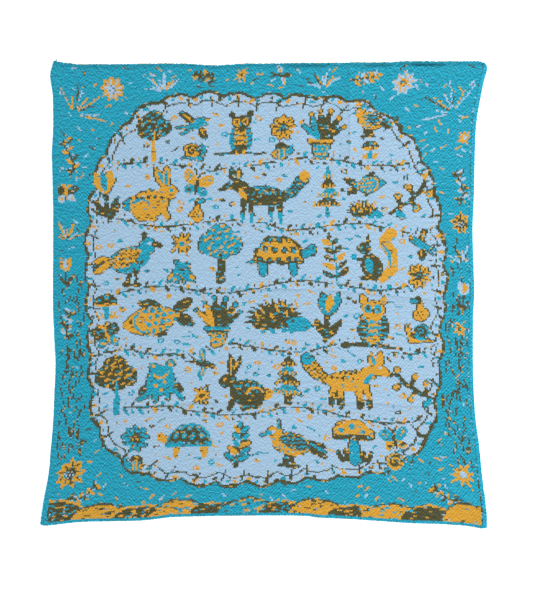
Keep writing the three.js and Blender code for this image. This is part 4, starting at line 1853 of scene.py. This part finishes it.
class BLANKET_OT_bound_off(bpy.types.Operator):
    """Make the bound-off chain along the bottom edge"""

    bl_idname = "blanket.bound_off"
    bl_label = "Bound-off chain"
    bl_options = {"REGISTER", "UNDO"}

    def execute(self, context):
        count = context.scene.blanket_edges.chain_links
        rng = np.random.default_rng(22)
        link = make_strand("chain_link")
        fleck = make_strand("chain_fleck")
        bm = new_strand_mesh()
        for i in range(count):
            share = (i + 0.5) / count
            place = edge_place_in_frame("bottom", share, -1.0, 2.6)
            add_strand(bm, link, place, 34 + rng.uniform(-7, 7), TEAL)
            if rng.random() < LINKS_WITH_FLECK and i < count - 1:
                place = edge_place_in_frame("bottom", share + 0.5 / count, -0.9, 3.1)
                add_strand(bm, fleck, place, 38 + rng.uniform(-8, 8), OLIVE)
        piece_from_bmesh("bound_off_edge", bm, strand_material())
        return {"FINISHED"}


class BLANKET_OT_selvedges(bpy.types.Operator):
    """Make the edge loops along the two sides"""

    bl_idname = "blanket.selvedges"
    bl_label = "Selvedges"
    bl_options = {"REGISTER", "UNDO"}

    def execute(self, context):
        count = context.scene.blanket_edges.selvedge_loops
        rng = np.random.default_rng(23)
        loop = make_strand("selvedge_loop")
        for side, level in (("left", 1.5), ("right", 2.2)):
            bm = new_strand_mesh()
            for i in range(count):
                share = (i + 0.5) / count
                place = edge_place_in_frame(side, share, rng.uniform(-0.25, 0.25), level)
                add_strand(bm, loop, place, 14 + rng.uniform(-8, 8), TEAL)
            piece_from_bmesh(side + "_selvedge", bm, strand_material())
        return {"FINISHED"}


class BLANKET_OT_yarn_end(bpy.types.Operator):
    """Make the short yarn end at the top left corner"""

    bl_idname = "blanket.yarn_end"
    bl_label = "Yarn end"
    bl_options = {"REGISTER", "UNDO"}

    def execute(self, context):
        bm = new_strand_mesh()
        place = edge_place_in_frame("top", 0.005, 3.0)
        for name, lean, yarn in (("ochre_end", 82, OCHRE), ("olive_end", 100, OLIVE)):
            add_strand(bm, make_strand(name), place, lean, yarn)
        piece_from_bmesh("yarn_end", bm, strand_material())
        return {"FINISHED"}


class BLANKET_OT_panel(bpy.types.Operator):
    """Knit the panel and lay it out on the floor"""

    bl_idname = "blanket.knit_panel"
    bl_label = "Knitted panel"
    bl_options = {"REGISTER", "UNDO"}

    def execute(self, context):
        mesh = flat_plate()
        chart_on_mesh(mesh, draw_chart(), back_yarns())
        lay_out(mesh)
        mesh.shade_smooth()
        piece = finish_piece("blanket_cloth", mesh, knit_material())
        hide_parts(PANEL_NODE)
        edges = ["cast_on_edge", "bound_off_edge", "left_selvedge", "right_selvedge", "yarn_end"]
        missing = [name for name in edges if name not in bpy.data.objects]
        if missing:
            raise RuntimeError("make the edges before the panel: " + ", ".join(missing))
        return {"FINISHED"}


class BLANKET_OT_stage(bpy.types.Operator):
    """Set up the floor, the soft light and the camera straight above"""

    bl_idname = "blanket.stage"
    bl_label = "Stage"
    bl_options = {"REGISTER", "UNDO"}

    def execute(self, context):
        scene = context.scene
        stage = scene.blanket_stage
        self.make_floor(scene, stage)
        self.make_lights(scene, stage)
        self.make_camera(scene, stage)
        scene.view_settings.view_transform = "Standard"
        return {"FINISHED"}

    def make_floor(self, scene, stage):
        """A pale floor just below the cloth."""
        bm = bmesh.new()
        bmesh.ops.create_grid(bm, x_segments=8, y_segments=8, size=FLOOR_HALF)
        bmesh.ops.translate(bm, vec=(0, 0, -FLOOR_GAP), verts=bm.verts[:])
        mesh = bpy.data.meshes.new("floor")
        bm.to_mesh(mesh)
        bm.free()
        material = bpy.data.materials.new("floor paint")
        material.use_nodes = True
        shader = material.node_tree.nodes["Principled BSDF"]
        shader.inputs["Base Color"].default_value = (*stage.floor_colour, 1)
        shader.inputs["Roughness"].default_value = 0.9
        shader.inputs["Specular IOR Level"].default_value = 0.2
        shader.inputs["Emission Color"].default_value = (1, 1, 1, 1)
        shader.inputs["Emission Strength"].default_value = stage.floor_glow
        mesh.materials.append(material)
        floor = bpy.data.objects.new("floor", mesh)
        scene.collection.objects.link(floor)

    def make_lights(self, scene, stage):
        """Even light from all round and one soft lamp."""
        world = bpy.data.worlds.new("studio")
        world.use_nodes = True
        background = world.node_tree.nodes["Background"]
        background.inputs["Color"].default_value = (1, 1, 1, 1)
        background.inputs["Strength"].default_value = stage.sky
        scene.world = world
        lamp_data = bpy.data.lights.new("soft lamp", "AREA")
        lamp_data.energy = stage.lamp
        lamp_data.size = LAMP_SIZE
        lamp = bpy.data.objects.new("soft lamp", lamp_data)
        lamp.location = LAMP_PLACE
        lamp.rotation_euler = (-lamp.location).to_track_quat("-Z", "Y").to_euler()
        scene.collection.objects.link(lamp)

    def make_camera(self, scene, stage):
        """A camera straight above, at the distance that its lens and the view's height give."""
        data = bpy.data.cameras.new("camera")
        data.lens = stage.lens
        data.sensor_width = 36
        data.dof.use_dof = False
        camera = bpy.data.objects.new("camera", data)
        distance = stage.view_height * data.lens / data.sensor_width
        camera.location = (*stage.aim, distance + THICKNESS * MM)
        scene.collection.objects.link(camera)
        scene.camera = camera


class BLANKET_PT_sidebar(bpy.types.Panel):
    """The blanket's pieces, sizes and colours"""

    bl_idname = "BLANKET_PT_sidebar"
    bl_label = "Baby blanket"
    bl_space_type = "VIEW_3D"
    bl_region_type = "UI"
    bl_category = "Blanket"

    def draw(self, context):
        scene = context.scene
        for operator in PIECE_OPERATORS:
            self.layout.operator(operator.bl_idname)
        for settings in (scene.blanket_yarns, scene.blanket_edges, scene.blanket_stage):
            box = self.layout.box()
            for name in settings.__annotations__:
                box.prop(settings, name)


PIECE_OPERATORS = (
    BLANKET_OT_stage,
    BLANKET_OT_cast_on,
    BLANKET_OT_bound_off,
    BLANKET_OT_selvedges,
    BLANKET_OT_yarn_end,
    BLANKET_OT_panel,
)
CLASSES = (BlanketYarns, BlanketEdges, BlanketStage) + PIECE_OPERATORS + (BLANKET_PT_sidebar,)


def register():
    for item in CLASSES:
        bpy.utils.register_class(item)
    bpy.types.Scene.blanket_yarns = PointerProperty(type=BlanketYarns)
    bpy.types.Scene.blanket_edges = PointerProperty(type=BlanketEdges)
    bpy.types.Scene.blanket_stage = PointerProperty(type=BlanketStage)


def unregister():
    del bpy.types.Scene.blanket_stage
    del bpy.types.Scene.blanket_edges
    del bpy.types.Scene.blanket_yarns
    for item in reversed(CLASSES):
        bpy.utils.unregister_class(item)


def main():
    """Makes the stage and the pieces in order."""
    register()
    bpy.ops.blanket.stage()
    bpy.ops.blanket.cast_on()
    bpy.ops.blanket.bound_off()
    bpy.ops.blanket.selvedges()
    bpy.ops.blanket.yarn_end()
    bpy.ops.blanket.knit_panel()


if __name__ == "__main__":
    main()
